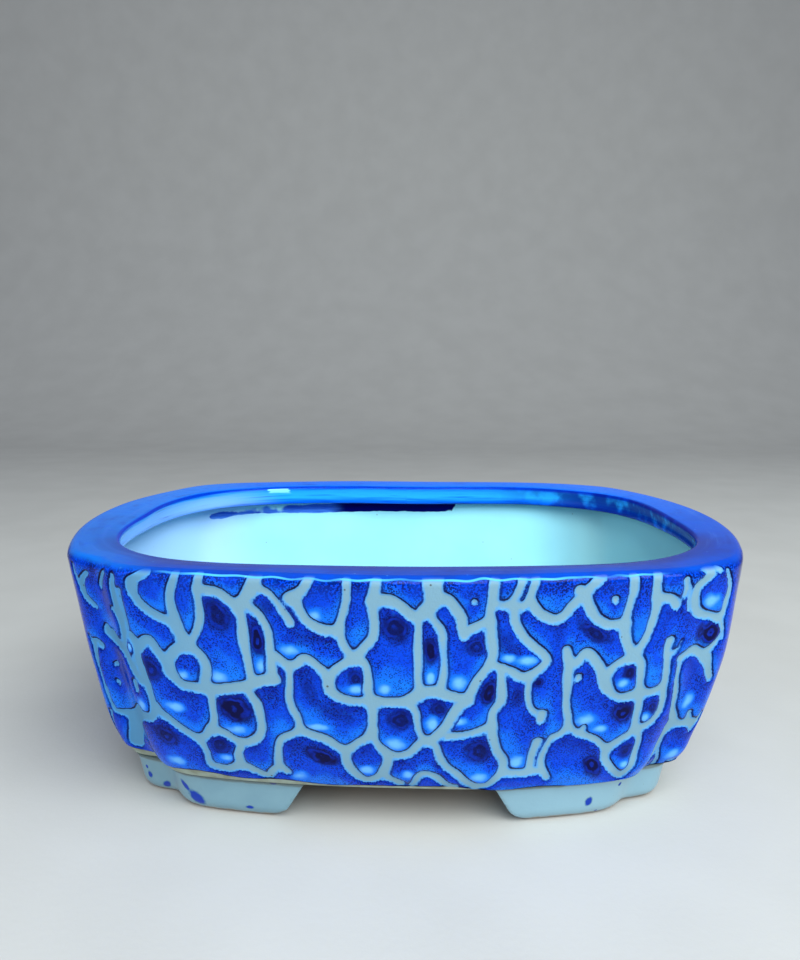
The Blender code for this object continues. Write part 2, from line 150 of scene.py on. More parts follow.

# Listed lines where the glaze crawled off the front: widths at both ends, then (x, z) points
LINES = (
    (2.6, 2.6, (-64, 75), (-66.3, 73), (-68.3, 71), (-68, 68.5), (-66.3, 65.5), (-63.5, 63.3),
     (-60.3, 62), (-57.8, 60.5)),
    (2.2, 4.0, (-56.2, 75.5), (-57.4, 70), (-57.9, 64), (-57.6, 60), (-56.3, 57), (-54.6, 54.8)),
    (2.4, 2.4, (-50.3, 75.5), (-50.6, 70), (-51.2, 64), (-51.8, 60), (-53, 57), (-54.6, 54.8)),
    (3.0, 3.0, (-54.6, 54.8), (-58.3, 53), (-60.6, 50.2), (-60.3, 46.5), (-57.8, 43.4), (-54, 42.8),
     (-50.5, 42.8)),
    (3.0, 3.0, (-54.6, 54.8), (-51.9, 52.5), (-50.8, 49), (-51, 45.5), (-50.3, 42.9)),
    (2.8, 2.8, (-70.5, 55.5), (-68, 53.3), (-65.8, 55), (-63.5, 52.8), (-61, 49.5), (-60.2, 46.5)),
    (2.4, 2.4, (-69, 53.5), (-69, 49.5), (-68.3, 45), (-67, 39.5), (-65.8, 35.5), (-62.5, 32),
     (-58.5, 29.5), (-54.8, 27)),
    (3.0, 3.0, (-65.8, 35.5), (-67, 32.3), (-70.5, 31), (-73, 29)),
    (2.4, 2.4, (-54.8, 27), (-53, 22.5), (-51.3, 18.2), (-47.5, 17.3), (-44.3, 18.7), (-42.2, 18.7),
     (-39.5, 16.8), (-36.5, 15.7), (-34.8, 17.8), (-33.2, 19)),
    (2.4, 2.4, (-54.8, 27), (-52.3, 28.3), (-50.4, 30), (-47.7, 29.8), (-45.5, 28), (-43, 26.6),
     (-40.2, 27.3), (-37.8, 30), (-36.9, 34), (-37.4, 38.5), (-38.8, 41), (-40.5, 43.6)),
    (2.3, 2.3, (-50.4, 30), (-49.4, 33), (-49.8, 37), (-49.8, 41), (-50.3, 42.9)),
    (2.6, 2.6, (-43, 26.6), (-44, 23.5), (-43.5, 20.8), (-43.2, 18.7)),
    (3.4, 3.4, (-50.3, 42.9), (-46, 43), (-42.5, 43.6), (-39.5, 44.8), (-36.5, 46.3), (-33.2, 46.6)),
    (3.0, 3.0, (-50.5, 70.8), (-45.8, 70.2), (-43.3, 68.2), (-41.2, 66.5)),
    (3.4, 3.4, (-41.2, 66.5), (-38.8, 68.6), (-37, 71.5), (-36, 75)),
    (2.6, 2.6, (-41.2, 66.5), (-40.4, 63), (-39.9, 58), (-39.5, 52), (-38.8, 47.5), (-37.8, 45.8)),
    (2.3, 2.3, (-39.5, 67.3), (-37.5, 65.7), (-35.2, 63.5), (-33.5, 60), (-33.4, 55), (-33.5, 50),
     (-33.2, 46.6)),
    (2.2, 2.2, (-36, 71.5), (-33, 70.3), (-31, 68), (-29.5, 65), (-28.4, 62.5)),
    (2.6, 2.6, (-22.8, 75), (-24.5, 72), (-26.5, 69.8), (-26, 66.5), (-24.5, 63.5), (-21.5, 61.6),
     (-17.5, 60.9), (-15.9, 61.5)),
    (2.3, 2.3, (-14.3, 75.3), (-14.5, 70), (-15.3, 65), (-15.9, 61.5), (-15.2, 57.5), (-14.3, 55),
     (-12.8, 53.3)),
    (2.6, 2.6, (-7.5, 75.3), (-7.8, 70), (-7.9, 64), (-8.3, 60), (-10, 56.8), (-12.8, 53.3)),
    (2.8, 2.8, (-12.8, 53.3), (-15.3, 52), (-17.7, 49.5), (-18.8, 46.5), (-17.5, 43.3), (-14.5, 41.5),
     (-10.5, 41), (-7.5, 41.2)),
    (2.4, 2.4, (-12.8, 53.3), (-10, 51.8), (-9.2, 48), (-9.3, 44.5), (-8.5, 41.2)),
    (2.6, 2.6, (-31.8, 53.2), (-29.3, 51.2), (-26.8, 51.6), (-24.9, 53), (-22.7, 50.8), (-20.3, 48.8),
     (-18.8, 46.5)),
    (2.0, 2.0, (-29.2, 51.2), (-29.1, 46), (-28.8, 40), (-27.6, 35.5), (-27, 32.3)),
    (2.6, 2.6, (-27, 32.3), (-24, 31), (-20.5, 29.5), (-18, 27.5), (-15.2, 26.3), (-12.5, 27.8),
     (-10, 30), (-8.4, 33)),
    (2.2, 2.2, (-27, 32.3), (-30, 29.8), (-32.4, 27.5), (-33.2, 24), (-33, 20), (-31.3, 17.5)),
    (2.4, 2.4, (-8.5, 41.2), (-8.4, 37), (-8.4, 33), (-7.8, 29.5), (-5.8, 26.5), (-2.9, 25),
     (0.5, 25.6), (3.2, 28.5), (4.8, 29.6)),
    (2.6, 2.6, (-15.2, 26.3), (-15.2, 23), (-13.5, 19), (-10.5, 16.3), (-7, 17.3), (-5, 20),
     (-4.8, 23.8), (-5.8, 26.5)),
    (2.4, 2.4, (-5, 20), (-4.2, 17), (-1.5, 14.8)),
    (3.4, 3.4, (-7.7, 69), (-4, 69), (-1.5, 68), (0.5, 65.8), (2.3, 65), (4.5, 66.8)),
    (3.4, 5.5, (4.5, 66.8), (6.3, 69.5), (6.3, 75.3)),
    (2.2, 2.2, (2.3, 65), (2.8, 61), (3, 55), (3.2, 49), (3.5, 44.5)),
    (2.2, 2.2, (4.5, 66.8), (6.8, 63.7), (8.8, 60), (9.2, 54), (8.9, 48), (8.6, 44)),
    (3.0, 3.0, (7, 69.7), (10.5, 68.7), (12.8, 65), (13.7, 61.2), (16.5, 61.6), (20.2, 63)),
    (2.7, 2.7, (21.1, 75.2), (20.9, 70), (20.1, 65.5), (20.8, 60), (21, 55), (20.2, 52), (18.3, 48),
     (16, 43.5), (13, 38.7), (10.6, 34.5), (7.8, 31), (6, 29.8)),
    (2.2, 2.2, (27.6, 75), (26.4, 71), (24.5, 68), (21.5, 68.2)),
    (2.4, 2.4, (24.5, 68), (28.5, 67.6), (30.2, 70.5), (30.9, 74.8)),
    (2.6, 2.6, (26, 66.9), (26.6, 63), (28.5, 59.5), (31.5, 56.3), (34.2, 53.6), (34.6, 51.3),
     (32.3, 49.2), (28.8, 48.2), (26.2, 49.8), (23.5, 50.6), (20.6, 51.8)),
    (2.5, 2.5, (23.9, 50.4), (24.2, 46), (23.6, 41), (22.1, 38), (22.1, 33), (22.3, 30), (23.5, 26),
     (25.5, 22.3), (25.8, 19)),
    (2.3, 2.3, (10.6, 31), (14.5, 31.5), (18.5, 32.4), (22.1, 33.8)),
    (3.2, 3.2, (-8.5, 41.2), (-4, 41.3), (0, 41.6), (3.5, 43.6), (7, 44.2), (11, 43), (15.3, 42.2)),
    (2.0, 2.0, (0.7, 41), (2.6, 38), (3.4, 34), (4, 31.3), (5.2, 29.6)),
    (2.4, 2.4, (5.2, 29.6), (7.6, 28), (8.8, 24.7), (10.7, 21.2), (13.8, 18.5), (16.2, 15.5),
     (18.5, 13.8)),
    (2.4, 2.4, (18.5, 13.8), (21.5, 14.5), (23.6, 17), (25.8, 19)),
    (2.2, 2.2, (1.8, 14.2), (3.6, 17.5), (5.8, 18.8), (8.2, 17.7), (10.6, 15.2), (13, 14)),
    (2.8, 2.8, (30.5, 68), (32.3, 65), (35.4, 63.6), (38, 64.6), (39.9, 67.3), (43, 69),
     (44.6, 66.5), (46.3, 63.8), (49.5, 62.1), (54.2, 61.8)),
    (2.8, 2.8, (43, 69), (44.8, 72), (47.2, 75)),
    (2.6, 2.6, (55.1, 75), (55.6, 70), (54.7, 65.5), (54.3, 61), (55, 56), (57.5, 52.3)),
    (2.6, 2.6, (61.8, 75), (61.7, 68), (61.3, 62), (60.4, 57.5), (57.5, 52.3)),
    (2.8, 2.8, (62, 68), (65.2, 67.7), (67.4, 66)),
    (2.0, 1.6, (69.3, 72), (69.5, 70), (69.4, 68.2)),
    (0.8, 0.8, (70.6, 70), (70.9, 67), (71.5, 64.5)),
    (2.6, 2.6, (57.5, 52.3), (53.5, 50.8), (51.3, 47.5), (51.5, 43), (54.2, 40.7), (58, 40.6),
     (60.4, 41)),
    (2.4, 2.4, (57.5, 52.3), (59.6, 50.5), (60.2, 46.5), (60.3, 41)),
    (2.6, 2.6, (39.7, 55.3), (40.3, 52.5), (42.3, 51.8), (44.6, 53.8), (47, 51.8), (49.5, 48.3),
     (51.5, 43)),
    (2.4, 2.4, (40.4, 52.5), (40.5, 46), (40.9, 40), (41.8, 36), (42.3, 32.3), (44.8, 30.2), (49, 28),
     (52, 25.5), (53.8, 24)),
    (1.6, 1.6, (45.8, 30.2), (46.3, 32)),
    (1.8, 1.8, (30.6, 48), (30.8, 43), (31.4, 39), (33, 36.8)),
    (2.2, 2.2, (42.3, 32.3), (40, 29.7), (37.6, 28.7), (36.3, 25.5), (36.3, 21), (37.6, 16)),
    (2.4, 2.4, (33.8, 28.5), (33, 24), (32.6, 19), (28.5, 18.5), (25.8, 19)),
    (2.0, 2.0, (32.6, 19), (36, 18.5)),
    (2.5, 2.5, (53.8, 24), (53.4, 20.5), (55.4, 17), (58.2, 14.2)),
    (2.4, 2.4, (53.8, 24), (56.8, 26.5), (59.3, 28), (60.9, 30)),
    (2.2, 2.2, (60.3, 41), (60.7, 36), (60.9, 30), (62, 26), (62.2, 21), (61.3, 17), (58.5, 14.3)),
    (2.3, 2.3, (60.3, 40.8), (64, 41), (66.6, 42.8), (67.1, 47), (66.9, 51), (66.6, 53.5),
     (67, 55.7)),
    (1.6, 0.6, (68.2, 52.4), (69.5, 53.2), (70.3, 55)),
    (2.2, 2.2, (66.8, 42), (67.8, 38.5), (67.4, 34.5), (65.3, 31.3), (62, 29.4)),
    (1.6, 2.2, (71.3, 50.3), (71, 46), (71, 42), (71.4, 38), (72, 35), (72.8, 32)),
    (2.2, 4.0, (72.8, 32), (73.2, 29.6), (72.2, 27)),
    (3.6, 1.4, (72.2, 27), (70.8, 24.5), (69.5, 21), (68.3, 18), (67.7, 17)),
    (0.9, 1.6, (71, 22), (70.6, 19), (70.7, 16), (70.5, 13)),
    (1.2, 3.0, (71.6, 75.3), (74, 75.3), (76.4, 74.6), (76.8, 73.2)),
    (3.0, 2.4, (76.8, 73.2), (75.6, 71.6), (73.7, 70), (72.8, 68), (73, 65.5), (74.2, 63.2),
     (76.5, 61.7), (79, 60.8), (81.4, 60)),
    (3.0, 1.5, (81.4, 60), (83, 61.5), (83.3, 64.5), (83.7, 68), (83.4, 71), (82.4, 73.6)),
    (2.0, 1.0, (82.6, 59.5), (83.5, 56.5), (84, 53.5)),
    (1.7, 1.7, (78.7, 74.9), (79.9, 74)),
    (2.2, 3.0, (71, 50.5), (73.2, 51.2), (75.3, 51.2), (77.7, 49.8), (79.6, 48)),
    (3.8, 2.0, (79.6, 48), (80.7, 45), (82.2, 41.2)),
    (2.4, 1.2, (79, 50), (81, 51.6), (83, 53.8)),
    (2.8, 2.4, (73.2, 28.6), (76, 27.4), (78.5, 27.2), (81, 26.2), (82.4, 28.6)),
    (1.8, 1.3, (78, 28.4), (77.9, 30.9)),
    (2.4, 1.4, (79.4, 26.6), (80, 24)),
    (1.3, 1.3, (75, 13.4), (77.5, 13.2)),
    (1.4, 2.6, (-83, 70.6), (-84.7, 69), (-85.7, 66.5)),
    (2.6, 1.4, (-85.7, 66.5), (-85.2, 63.8), (-83.8, 62.2), (-82.3, 61.2)),
    (1.2, 1.2, (-88, 72), (-87.4, 69.5), (-86.4, 67.5)),
    (1.0, 1.6, (-76.3, 72.6), (-77.2, 70.8), (-78.4, 68)),
    (1.6, 3.2, (-73.4, 72.5), (-73.9, 70), (-73.7, 67), (-73.5, 64), (-73.3, 61.5)),
    (3.2, 1.6, (-73.3, 61.5), (-73, 59), (-73, 56), (-73.4, 53), (-73.6, 51.5)),
    (1.0, 1.6, (-75.6, 62.6), (-74, 61)),
    (0.9, 0.9, (-72, 69), (-71.8, 65), (-71.5, 62), (-71, 58)),
    (2.0, 3.4, (-78.8, 55.6), (-79, 53.8), (-76.6, 53.6)),
    (3.4, 2.4, (-76.6, 53.6), (-75, 52.3), (-73.6, 51), (-72.8, 49.5), (-71.9, 47.6), (-71, 45.6),
     (-69.9, 43.8), (-68.8, 42.4)),
    (0.8, 2.0, (-86.3, 51.8), (-85, 50.1), (-83.4, 50.8), (-81.9, 49.6)),
    (2.2, 1.0, (-84.6, 49.6), (-84.8, 46.5), (-84.5, 43), (-83.9, 39), (-83, 35.5)),
    (1.0, 2.8, (-83, 35.5), (-82.2, 32.6), (-81.4, 30), (-80.5, 28.8), (-78, 28.6), (-75.5, 28.6)),
    (2.2, 6.0, (-71.6, 33), (-72.9, 29.8), (-74.2, 27)),
    (6.0, 4.6, (-74.2, 27), (-75.2, 23.5), (-75.9, 19)),
    (1.4, 1.4, (-82.8, 28), (-82.8, 24), (-82.2, 20), (-81.3, 16.5)),
    (1.0, 1.6, (-70.4, 50), (-70.4, 47.5), (-70.8, 45.5)),
    (1.8, 1.2, (-71.3, 41.5), (-71.1, 39)),
    (1.6, 1.2, (-77.6, 45), (-78.3, 44.6)),
    (1.5, 1.5, (-78.5, 38.8), (-78.4, 38.4)),
    # Bare spots and bumps on the lines
    (3.2, 3.2, (-68.0, 70.6), (-68.2, 69.2)),
    (3.6, 3.6, (-27.5, 69.5), (-27.3, 69.1)),
    (2.4, 2.4, (14, 60), (14.1, 59.8)),
    (2.8, 2.8, (41.7, 71.3), (41.8, 71)),
    (2.6, 2.6, (35, 36.4), (35, 34.8)),
    (2.0, 2.0, (50.6, 68.4), (50.6, 68.2)),
    (1.3, 1.3, (16, 69), (16, 68.9)),
    (1.7, 1.7, (43.2, 47.6), (43.1, 46.8)),
)

# Dark hearts of the glaze islands: (x, z, half width, half height, tilt in degrees, darkness)
HEARTS = (
    (-65.5, 47, 3, 3.6, 25, 0.8), (-63.5, 26.5, 3.5, 3, -20, 0.8), (-46, 63.5, 3.4, 4.4, 20, 0.8),
    (-36.5, 58, 2.1, 4.6, 5, 0.95), (-43.7, 37.3, 5, 4, -25, 1.0), (-48.7, 25.6, 2.8, 2.8, 0, 0.8),
    (-21.5, 24, 5.2, 2.3, -22, 1.0), (-12.5, 48, 2.3, 2.4, 0, 0.8), (-38, 42, 1.5, 1.5, 0, 0.7),
    (-33.5, 67, 2, 2, 0, 0.5), (-2.5, 61.8, 3.4, 4, 20, 0.85), (6, 55.6, 1.9, 3.9, 0, 0.95),
    (17, 56.8, 2.6, 2.6, 0, 0.75), (-1.2, 36, 3.4, 3.1, 0, 0.85), (8.3, 39.3, 2.4, 2.2, 0, 0.8),
    (20.7, 44, 2, 4, -15, 1.0), (19, 26, 3.6, 3.8, 0, 0.85), (8.7, 21.8, 1.1, 1.1, 0, 0.8),
    (33, 46.4, 1.4, 1.4, 0, 0.9), (46.6, 59.6, 5.4, 2, -34, 0.85), (56.7, 47.7, 2, 2.6, 0, 0.9),
    (56.7, 35.6, 3.4, 3, 0, 1.0), (64.6, 36.4, 2, 2.4, 0, 0.75), (50, 19, 2.6, 3.8, 30, 0.95),
    (58.7, 22.7, 2, 2.4, -25, 0.8), (28, 42, 1.8, 2.6, 0, 0.5), (79.5, 55.8, 4.2, 3.8, -25, 1.0),
    (76, 56.6, 1.8, 2.8, 0, 0.8), (-24, 59, 5, 2, 10, 0.35), (-18, 38, 5, 2.2, -30, 0.45),
    (-24, 44, 1.6, 6, 20, 0.5), (24, 58, 2, 3.5, 20, 0.45), (26.5, 54.5, 2, 3, 30, 0.5),
    (-76, 64, 2.5, 4, 0, 0.3), (-75, 43, 2.4, 5, 0, 0.4),
)

# Pale pools at the islands' lower ends: (x, z, half width, half height)
POOLS = (
    (-57, 46.2, 2.2, 1.6), (-47, 46.6, 2.6, 2.2), (-36, 50.5, 1.5, 2.6), (-43.5, 31.2, 3.4, 1.7),
    (-47, 21.4, 2.8, 1.2), (-28.5, 55.3, 2.8, 1.8), (-28, 16.8, 2.6, 1.8), (-22.5, 33.4, 4, 1.3),
    (-12.5, 45, 2.4, 1.5), (-5.3, 45.2, 2.0, 1.7), (-2.6, 28.8, 3.2, 2.1), (6, 48.4, 1.3, 2.5),
    (13, 46.8, 2.6, 2.6), (6.8, 34.8, 1.7, 2.7), (29.5, 52.7, 2.8, 1.5), (25.3, 53.4, 2.0, 1.2),
    (19, 17.4, 2.8, 1.8), (29, 22, 2.4, 2.2), (0.8, 18.6, 2, 1.6), (46.5, 34, 3, 2.2),
    (50.5, 31, 2.6, 1.4), (55.3, 44.8, 2, 1.4), (63, 33.2, 1.4, 1.8), (59, 18.4, 1.5, 1.3),
    (-62, 18.4, 3.2, 1.6), (-10, 20, 2.2, 1.6), (13.5, 35.6, 2.4, 1.4), (77.8, 65.4, 3.2, 2.2),
    (76.2, 35, 1.8, 3.2), (75.6, 16.6, 2.8, 2.2), (-60, 36.5, 3.2, 1.5), (-22, 65, 2.2, 1.8),
    (-70, 35, 1.8, 2.2), (-71, 52.8, 1.4, 1.7), (-70, 48, 0.8, 2),
)

# Outlines and cove of the feet
FOOT_INSET_TOP = 0.0166
FOOT_INSET_BOTTOM = 0.0188
FOOT_EDGE_ROUNDING = (0.0016, 0.0034)  # of the foot's outside and of its ends, at the bottom
FOOT_THICKNESS = 0.013
FOOT_CORNER_THICKNESS = 0.009
FOOT_NARROWING = {"foot_front_right": 0.97}  # of the distance from the middle, as fired
FOOT_INNER_SHIFT = {"foot_front_right": 0.0025}  # how much further in its inner end reaches
FOOT_TOP_SETBACK = (0.007, 0.006)  # how much shorter each end is at the top than at the bottom
FOOT_SAMPLES = 40
FOOT_LEVELS = 16
FOOT_VOXEL = 0.0005
FOOT_SMOOTHING = 10

# Blue splashes on the feet: (x, y, z, half width, half height, tilt)
FOOT_SPLASHES = {
    "foot_front_left": (
        (-59.3, -57, 4.1, 2.7, 1.7, -42), (-62.3, -56, 7.4, 1.9, 0.8, -50),
        (-43.5, -61, 3.0, 1.1, 0.6, 0), (-36.3, -61, 12.0, 1.0, 0.5, 0), (-69, -41.5, 3.2, 1.6, 1.0, 40),
        (-74.5, -40, 5.6, 0.8, 1.1, 0), (-75, -41, 8.2, 0.5, 0.6, 0),
    ),
    "foot_front_right": (
        (50.8, -59, 5.3, 0.95, 1.4, -15), (60.6, -57, 9.2, 0.6, 0.5, 40), (54.3, -59, 1.4, 0.5, 0.35, 0),
    ),
    "foot_back_left": ((-48, 59, 6.5, 1.2, 1.6, 10), (-60, 53, 3, 0.6, 0.5, 0)),
    "foot_back_right": ((44, 60, 4, 1.8, 0.9, 30), (58, 55, 7.5, 0.7, 0.6, 0)),
}

# A stroke of blue that ran over the white at the back, just under the lip: (x, z, width)
INNER_STROKE = (
    (-79.5, 62.9, 2.0), (-76, 63.2, 2.8), (-71, 63.8, 2.8), (-66, 64.1, 2.8), (-60, 64.3, 2.8),
    (-52, 64.2, 3.0), (-45, 64.2, 3.4), (-35, 64.3, 3.6), (-28, 64.4, 3.8), (-20, 64.7, 4.2),
    (-10, 64.8, 4.2), (0, 64.7, 4.2), (10, 64.8, 4.2), (20.5, 64.9, 4.0),
)


def rgb(red, green, blue):
    """Linear colour of 8-bit screen values."""
    channels = []
    for value in (red, green, blue):
        share = value / 255
        channels.append(share / 12.92 if share <= 0.04045 else ((share + 0.055) / 1.055) ** 2.4)
    return (*channels, 1.0)


LINE_TONE = rgb(124, 166, 190)
LINE_SHADE = rgb(130, 164, 174)
# Painted shade: the pale lines darker and bluer towards the left end
LINE_SHADED_LEFT = rgb(78, 142, 188)
LINE_SPECK = rgb(70, 62, 50)
HALO_TONE = rgb(76, 156, 228)
BLUE_DEEP = rgb(0, 26, 140)
BLUE_MID = rgb(0, 66, 214)
BLUE_LIGHT = rgb(20, 120, 246)
NAVY = rgb(0, 3, 60)
HEART_RING = rgb(3, 44, 176)
POOL_TONE = rgb(108, 182, 250)
RIM_TONE = rgb(3, 74, 192)
RIM_VIOLET = rgb(16, 58, 164)
# Painted reflection on the rim's flat: lighter at the back and at the left end
RIM_BACK_REFLECTION = rgb(12, 118, 250)
RIM_LEFT_REFLECTION = rgb(26, 140, 236)
RIM_INNER = rgb(12, 38, 132)
RIM_STREAKS = rgb(8, 40, 140), rgb(58, 122, 224)  # dark, pale
# Pale on the front rim's edge: glaze broken thin there, and a painted highlight
EDGE_PALE_AND_HIGHLIGHT = rgb(84, 190, 252)
LIP_BRIGHT = rgb(40, 166, 250)
LIP_MID = rgb(10, 108, 242)
LIP_RIGHT = rgb(6, 30, 140)
LIP_LEFT = rgb(136, 184, 250)
# Painted highlight on the back lip
LIP_GLINT = rgb(150, 240, 255)
WHITE_TONE = rgb(164, 232, 242)
WHITE_SHADE = rgb(154, 220, 234)
# Painted light at the inside's left end and painted shade at its right end
WHITE_LIT_LEFT = rgb(176, 208, 255)
WHITE_SHADED_RIGHT = rgb(150, 196, 200)
PINHOLE = rgb(120, 110, 96)
STROKE_TONES = rgb(70, 128, 226), rgb(30, 72, 186), rgb(2, 6, 92)  # pale, mid, dark
CREAM_TONE = rgb(166, 180, 168)
CREAM_SHADE = rgb(142, 146, 130)
CLAY_TONE = rgb(172, 150, 124)
CLAY_SHADE = rgb(140, 118, 94)
FOOT_TONE = rgb(126, 162, 176)
FOOT_SHADE = rgb(116, 152, 168)
# Painted light: the feet lighter towards the right
FOOT_LIT_RIGHT = rgb(148, 186, 202)
FOOT_SPECK = rgb(96, 92, 80)
SPLASH_TONE = rgb(0, 52, 168)
SPLASH_RING = rgb(16, 92, 150)
SOLE_TONE = rgb(150, 126, 100)
# A dark line at the top of each foot, where it meets the underside
FOOT_ROOT_LINE = rgb(84, 86, 74)
PLASTIC_TONES = rgb(30, 30, 32), rgb(46, 46, 48), rgb(96, 96, 96)  # dark, light, scuffed
WIRE_TONES = rgb(112, 66, 40), rgb(84, 48, 30)


# ---------------------------------------------------------------- plan and profile


def smoothstep(low, high, value):
    share = np.clip((value - low) / (high - low), 0.0, 1.0)
    return share * share * (3 - 2 * share)


def soft_max(a, b, power):
    """The larger of two, rounded where they meet, or the smaller when the power is negative."""
    return (a**power + b**power) ** (1.0 / power)


def bulge_reach(along, across, face, radius):
    """Distance from the centre to a bulging face, in the direction (across, along), both positive."""
    centre = face - radius
    return along * centre + np.sqrt((along * centre) ** 2 - centre**2 + radius**2)


def share_of_height(z):
    return np.clip((z - UNDERSIDE_Z) / (HEIGHT - UNDERSIDE_Z), 0.0, 1.0)


def crease_at(z):
    """How sharply the lobes meet on the outside: softly at the rim, sharply at the base."""
    return BASE_CREASE + (RIM_CREASE - BASE_CREASE) * float(share_of_height(z))


def lobe_reaches(angle, inset, z, forward=0.0):
    """Distances from the centre to the long and to the short lobe in a direction. The short lobe
    reaches forward past its usual end."""
    cosine = np.cos(angle)
    sine = np.sin(angle)
    corner = np.where(sine < 0, 0, 2) + np.where(cosine < 0, 0, 1)
    up = share_of_height(z)
    long_step = LONG_STEP_BASE[corner] * (1 - up) + LONG_STEP_RIM[corner] * up
    short_step = SHORT_STEP_BASE[corner] * (1 - up) + SHORT_STEP_RIM[corner] * up - forward
    across = np.maximum(np.abs(cosine), 1e-9)
    along = np.maximum(np.abs(sine), 1e-9)
    half_length = HALF_LENGTH - inset + ENDS_STAND_OUT * up - ENDS_DRAWN_IN * (1 - up)
    half_width = HALF_WIDTH - inset
    long_face = bulge_reach(along, across, half_width, FRONT_BULGE_RADIUS)
    side_bulge = SIDE_BULGE_BASE + (SIDE_BULGE_RIM - SIDE_BULGE_BASE) * up
    short_face = bulge_reach(across, along, half_length, side_bulge)
    long_lobe = soft_max(long_face, (half_length - long_step) / across, -LOBE_ROUNDING)
    short_lobe = soft_max(short_face, (half_width - short_step) / along, -LOBE_ROUNDING)
    return long_lobe, short_lobe


def crease_directions(inset, z):
    """Directions of the four creases, as turns from the back centre by the left: growing angles."""
    found = []
    for axis, inwards in ((180, -1), (180, 1), (360, -1), (360, 1)):
        low = math.radians(10)
        high = math.radians(65)
        for _ in range(36):
            middle = (low + high) / 2
            angle = np.float64(math.radians(axis) + inwards * middle)
            long_lobe, short_lobe = lobe_reaches(angle, inset, z)
            if short_lobe > long_lobe:
                low = middle
            else:
                high = middle
        found.append(math.radians(axis) + inwards * low)
    return found


def column_angles(inset, z, spans=SPAN_COLUMNS):
    """One direction for each column, with a column on each crease."""
    creases = crease_directions(inset, z)
    quarter = math.pi / 2
    knots = [quarter, creases[0], 2 * quarter, creases[1], 3 * quarter]
    knots += [creases[2], 4 * quarter, creases[3], 5 * quarter]
    parts = [np.linspace(a, b, n, endpoint=False) for a, b, n in zip(knots, knots[1:], spans)]
    return np.concatenate(parts)


def plan_ring(z, inset, crease, angles=None, forward=0.0):
    """Points of one level of the pot's outline."""
    if angles is None:
        angles = column_angles(inset, z)
    long_lobe, short_lobe = lobe_reaches(angles, inset, z, forward)
    reach = soft_max(long_lobe, short_lobe, crease)
    x = reach * np.cos(angles)
    y = reach * np.sin(angles)
    front_right = smoothstep(-0.005, 0.03, x) * smoothstep(0.02, 0.05, -y)
    y = y - LOW_RIGHT_FORWARD * front_right * (1 - smoothstep(0.013, 0.023, z))
    return np.stack([x, y, np.full_like(reach, z)], 1)


def profile_inset(z):
    """A smooth curve through the wall's profile."""
    heights, insets = np.array(WALL_PROFILE).T
    slopes = np.gradient(insets, heights)
    z = np.clip(z, WALL_FOOT, WALL_TOP)
    i = np.clip(np.searchsorted(heights, z) - 1, 0, len(heights) - 2)
    width = heights[i + 1] - heights[i]
    t = (z - heights[i]) / width
    start = (1 + 2 * t) * (1 - t) ** 2 * insets[i] + t * (1 - t) ** 2 * width * slopes[i]
    end = t * t * (3 - 2 * t) * insets[i + 1] + t * t * (t - 1) * width * slopes[i + 1]
    return start + end


def ripple(points, length, waves, seed):
    """Smooth random field of about unit size whose bumps are about length long."""
    rng = np.random.default_rng(seed)
    total = np.zeros(points.shape[:-1])
    for _ in range(waves):
        direction = rng.normal(size=3)
        direction *= rng.uniform(0.7, 1.5) / np.linalg.norm(direction)
        total += np.sin(points @ direction * (2 * math.pi / length) + rng.uniform(0, 2 * math.pi))
    return total * math.sqrt(2 / waves)


def hand_made(rings):
    """The rim's sag at the back and the slow unevenness of a wall that was pressed by hand."""
    points = rings.copy()
    high = smoothstep(0.045, HEIGHT, points[..., 2])
    sag = np.exp(-(((points[..., 0] + 0.010) / 0.030) ** 2)) * (points[..., 1] > 0)
    wave = ripple(points * (1, 1, 0.3), 0.06, 6, SEED)
    ends = smoothstep(0.07, 0.1, np.abs(points[..., 0]))
    points[..., 2] += high * (0.0004 * ends - 0.0002 * sag + 0.0001 * wave)
    push = 1 + 0.0016 * ripple(points, 0.055, 6, SEED + 1)
    points[..., 0] *= push
    points[..., 1] *= push
    return points


# ---------------------------------------------------------------- the glaze's fields


def curve_through(rows, steps=5):
    """Catmull-Rom curve through rows of numbers."""
    rows = np.array(rows, float)
    if len(rows) == 2:
        return rows
    ends = np.vstack([2 * rows[0] - rows[1], rows, 2 * rows[-1] - rows[-2]])
    made = []
    for a, b, c, d in zip(ends, ends[1:], ends[2:], ends[3:]):
        for t in np.arange(steps) / steps:
            made.append(
                0.5 * (2 * b + (c - a) * t + (2 * a - 5 * b + 4 * c - d) * t**2
                       + (3 * b - a - 3 * c + d) * t**3)
            )
    made.append(rows[-1])
    return np.array(made)


def on_the_wall(x, z, inside_back=False):
    """Points in millimetres from their x and height, on the wall's front or on its back's inside."""
    angles = np.radians(np.linspace(179, 1, 300) if inside_back else np.linspace(181, 359, 400))
    places = []
    for one_x, one_z in zip(x, z):
        level = float(np.clip(one_z * MM, WALL_FOOT, WALL_TOP))
        inset = float(profile_inset(level)) + WALL * inside_back
        crease = INNER_CREASE if inside_back else crease_at(level)
        ring = plan_ring(level, inset, crease, angles) / MM
        places.append((one_x, np.interp(one_x, ring[:, 0], ring[:, 1]), one_z))
    return np.array(places)


def outwards(x, y):
    """Which way the long faces of the pot look at a place. Marks are laid flat on it."""
    return (x / 4, y, 0)


def distance_to_path(points, path, radii):
    """Least distance from each point to a path of spheres, in the points' own unit."""
    best = np.full(len(points), np.inf)
    for start, end, first, last in zip(path, path[1:], radii, radii[1:]):
        along = end - start
        share = np.clip((points - start) @ along / max(along @ along, 1e-9), 0, 1)
        gap = np.linalg.norm(points - start - share[:, None] * along, axis=1)
        best = np.minimum(best, gap - first - (last - first) * share)
    return best


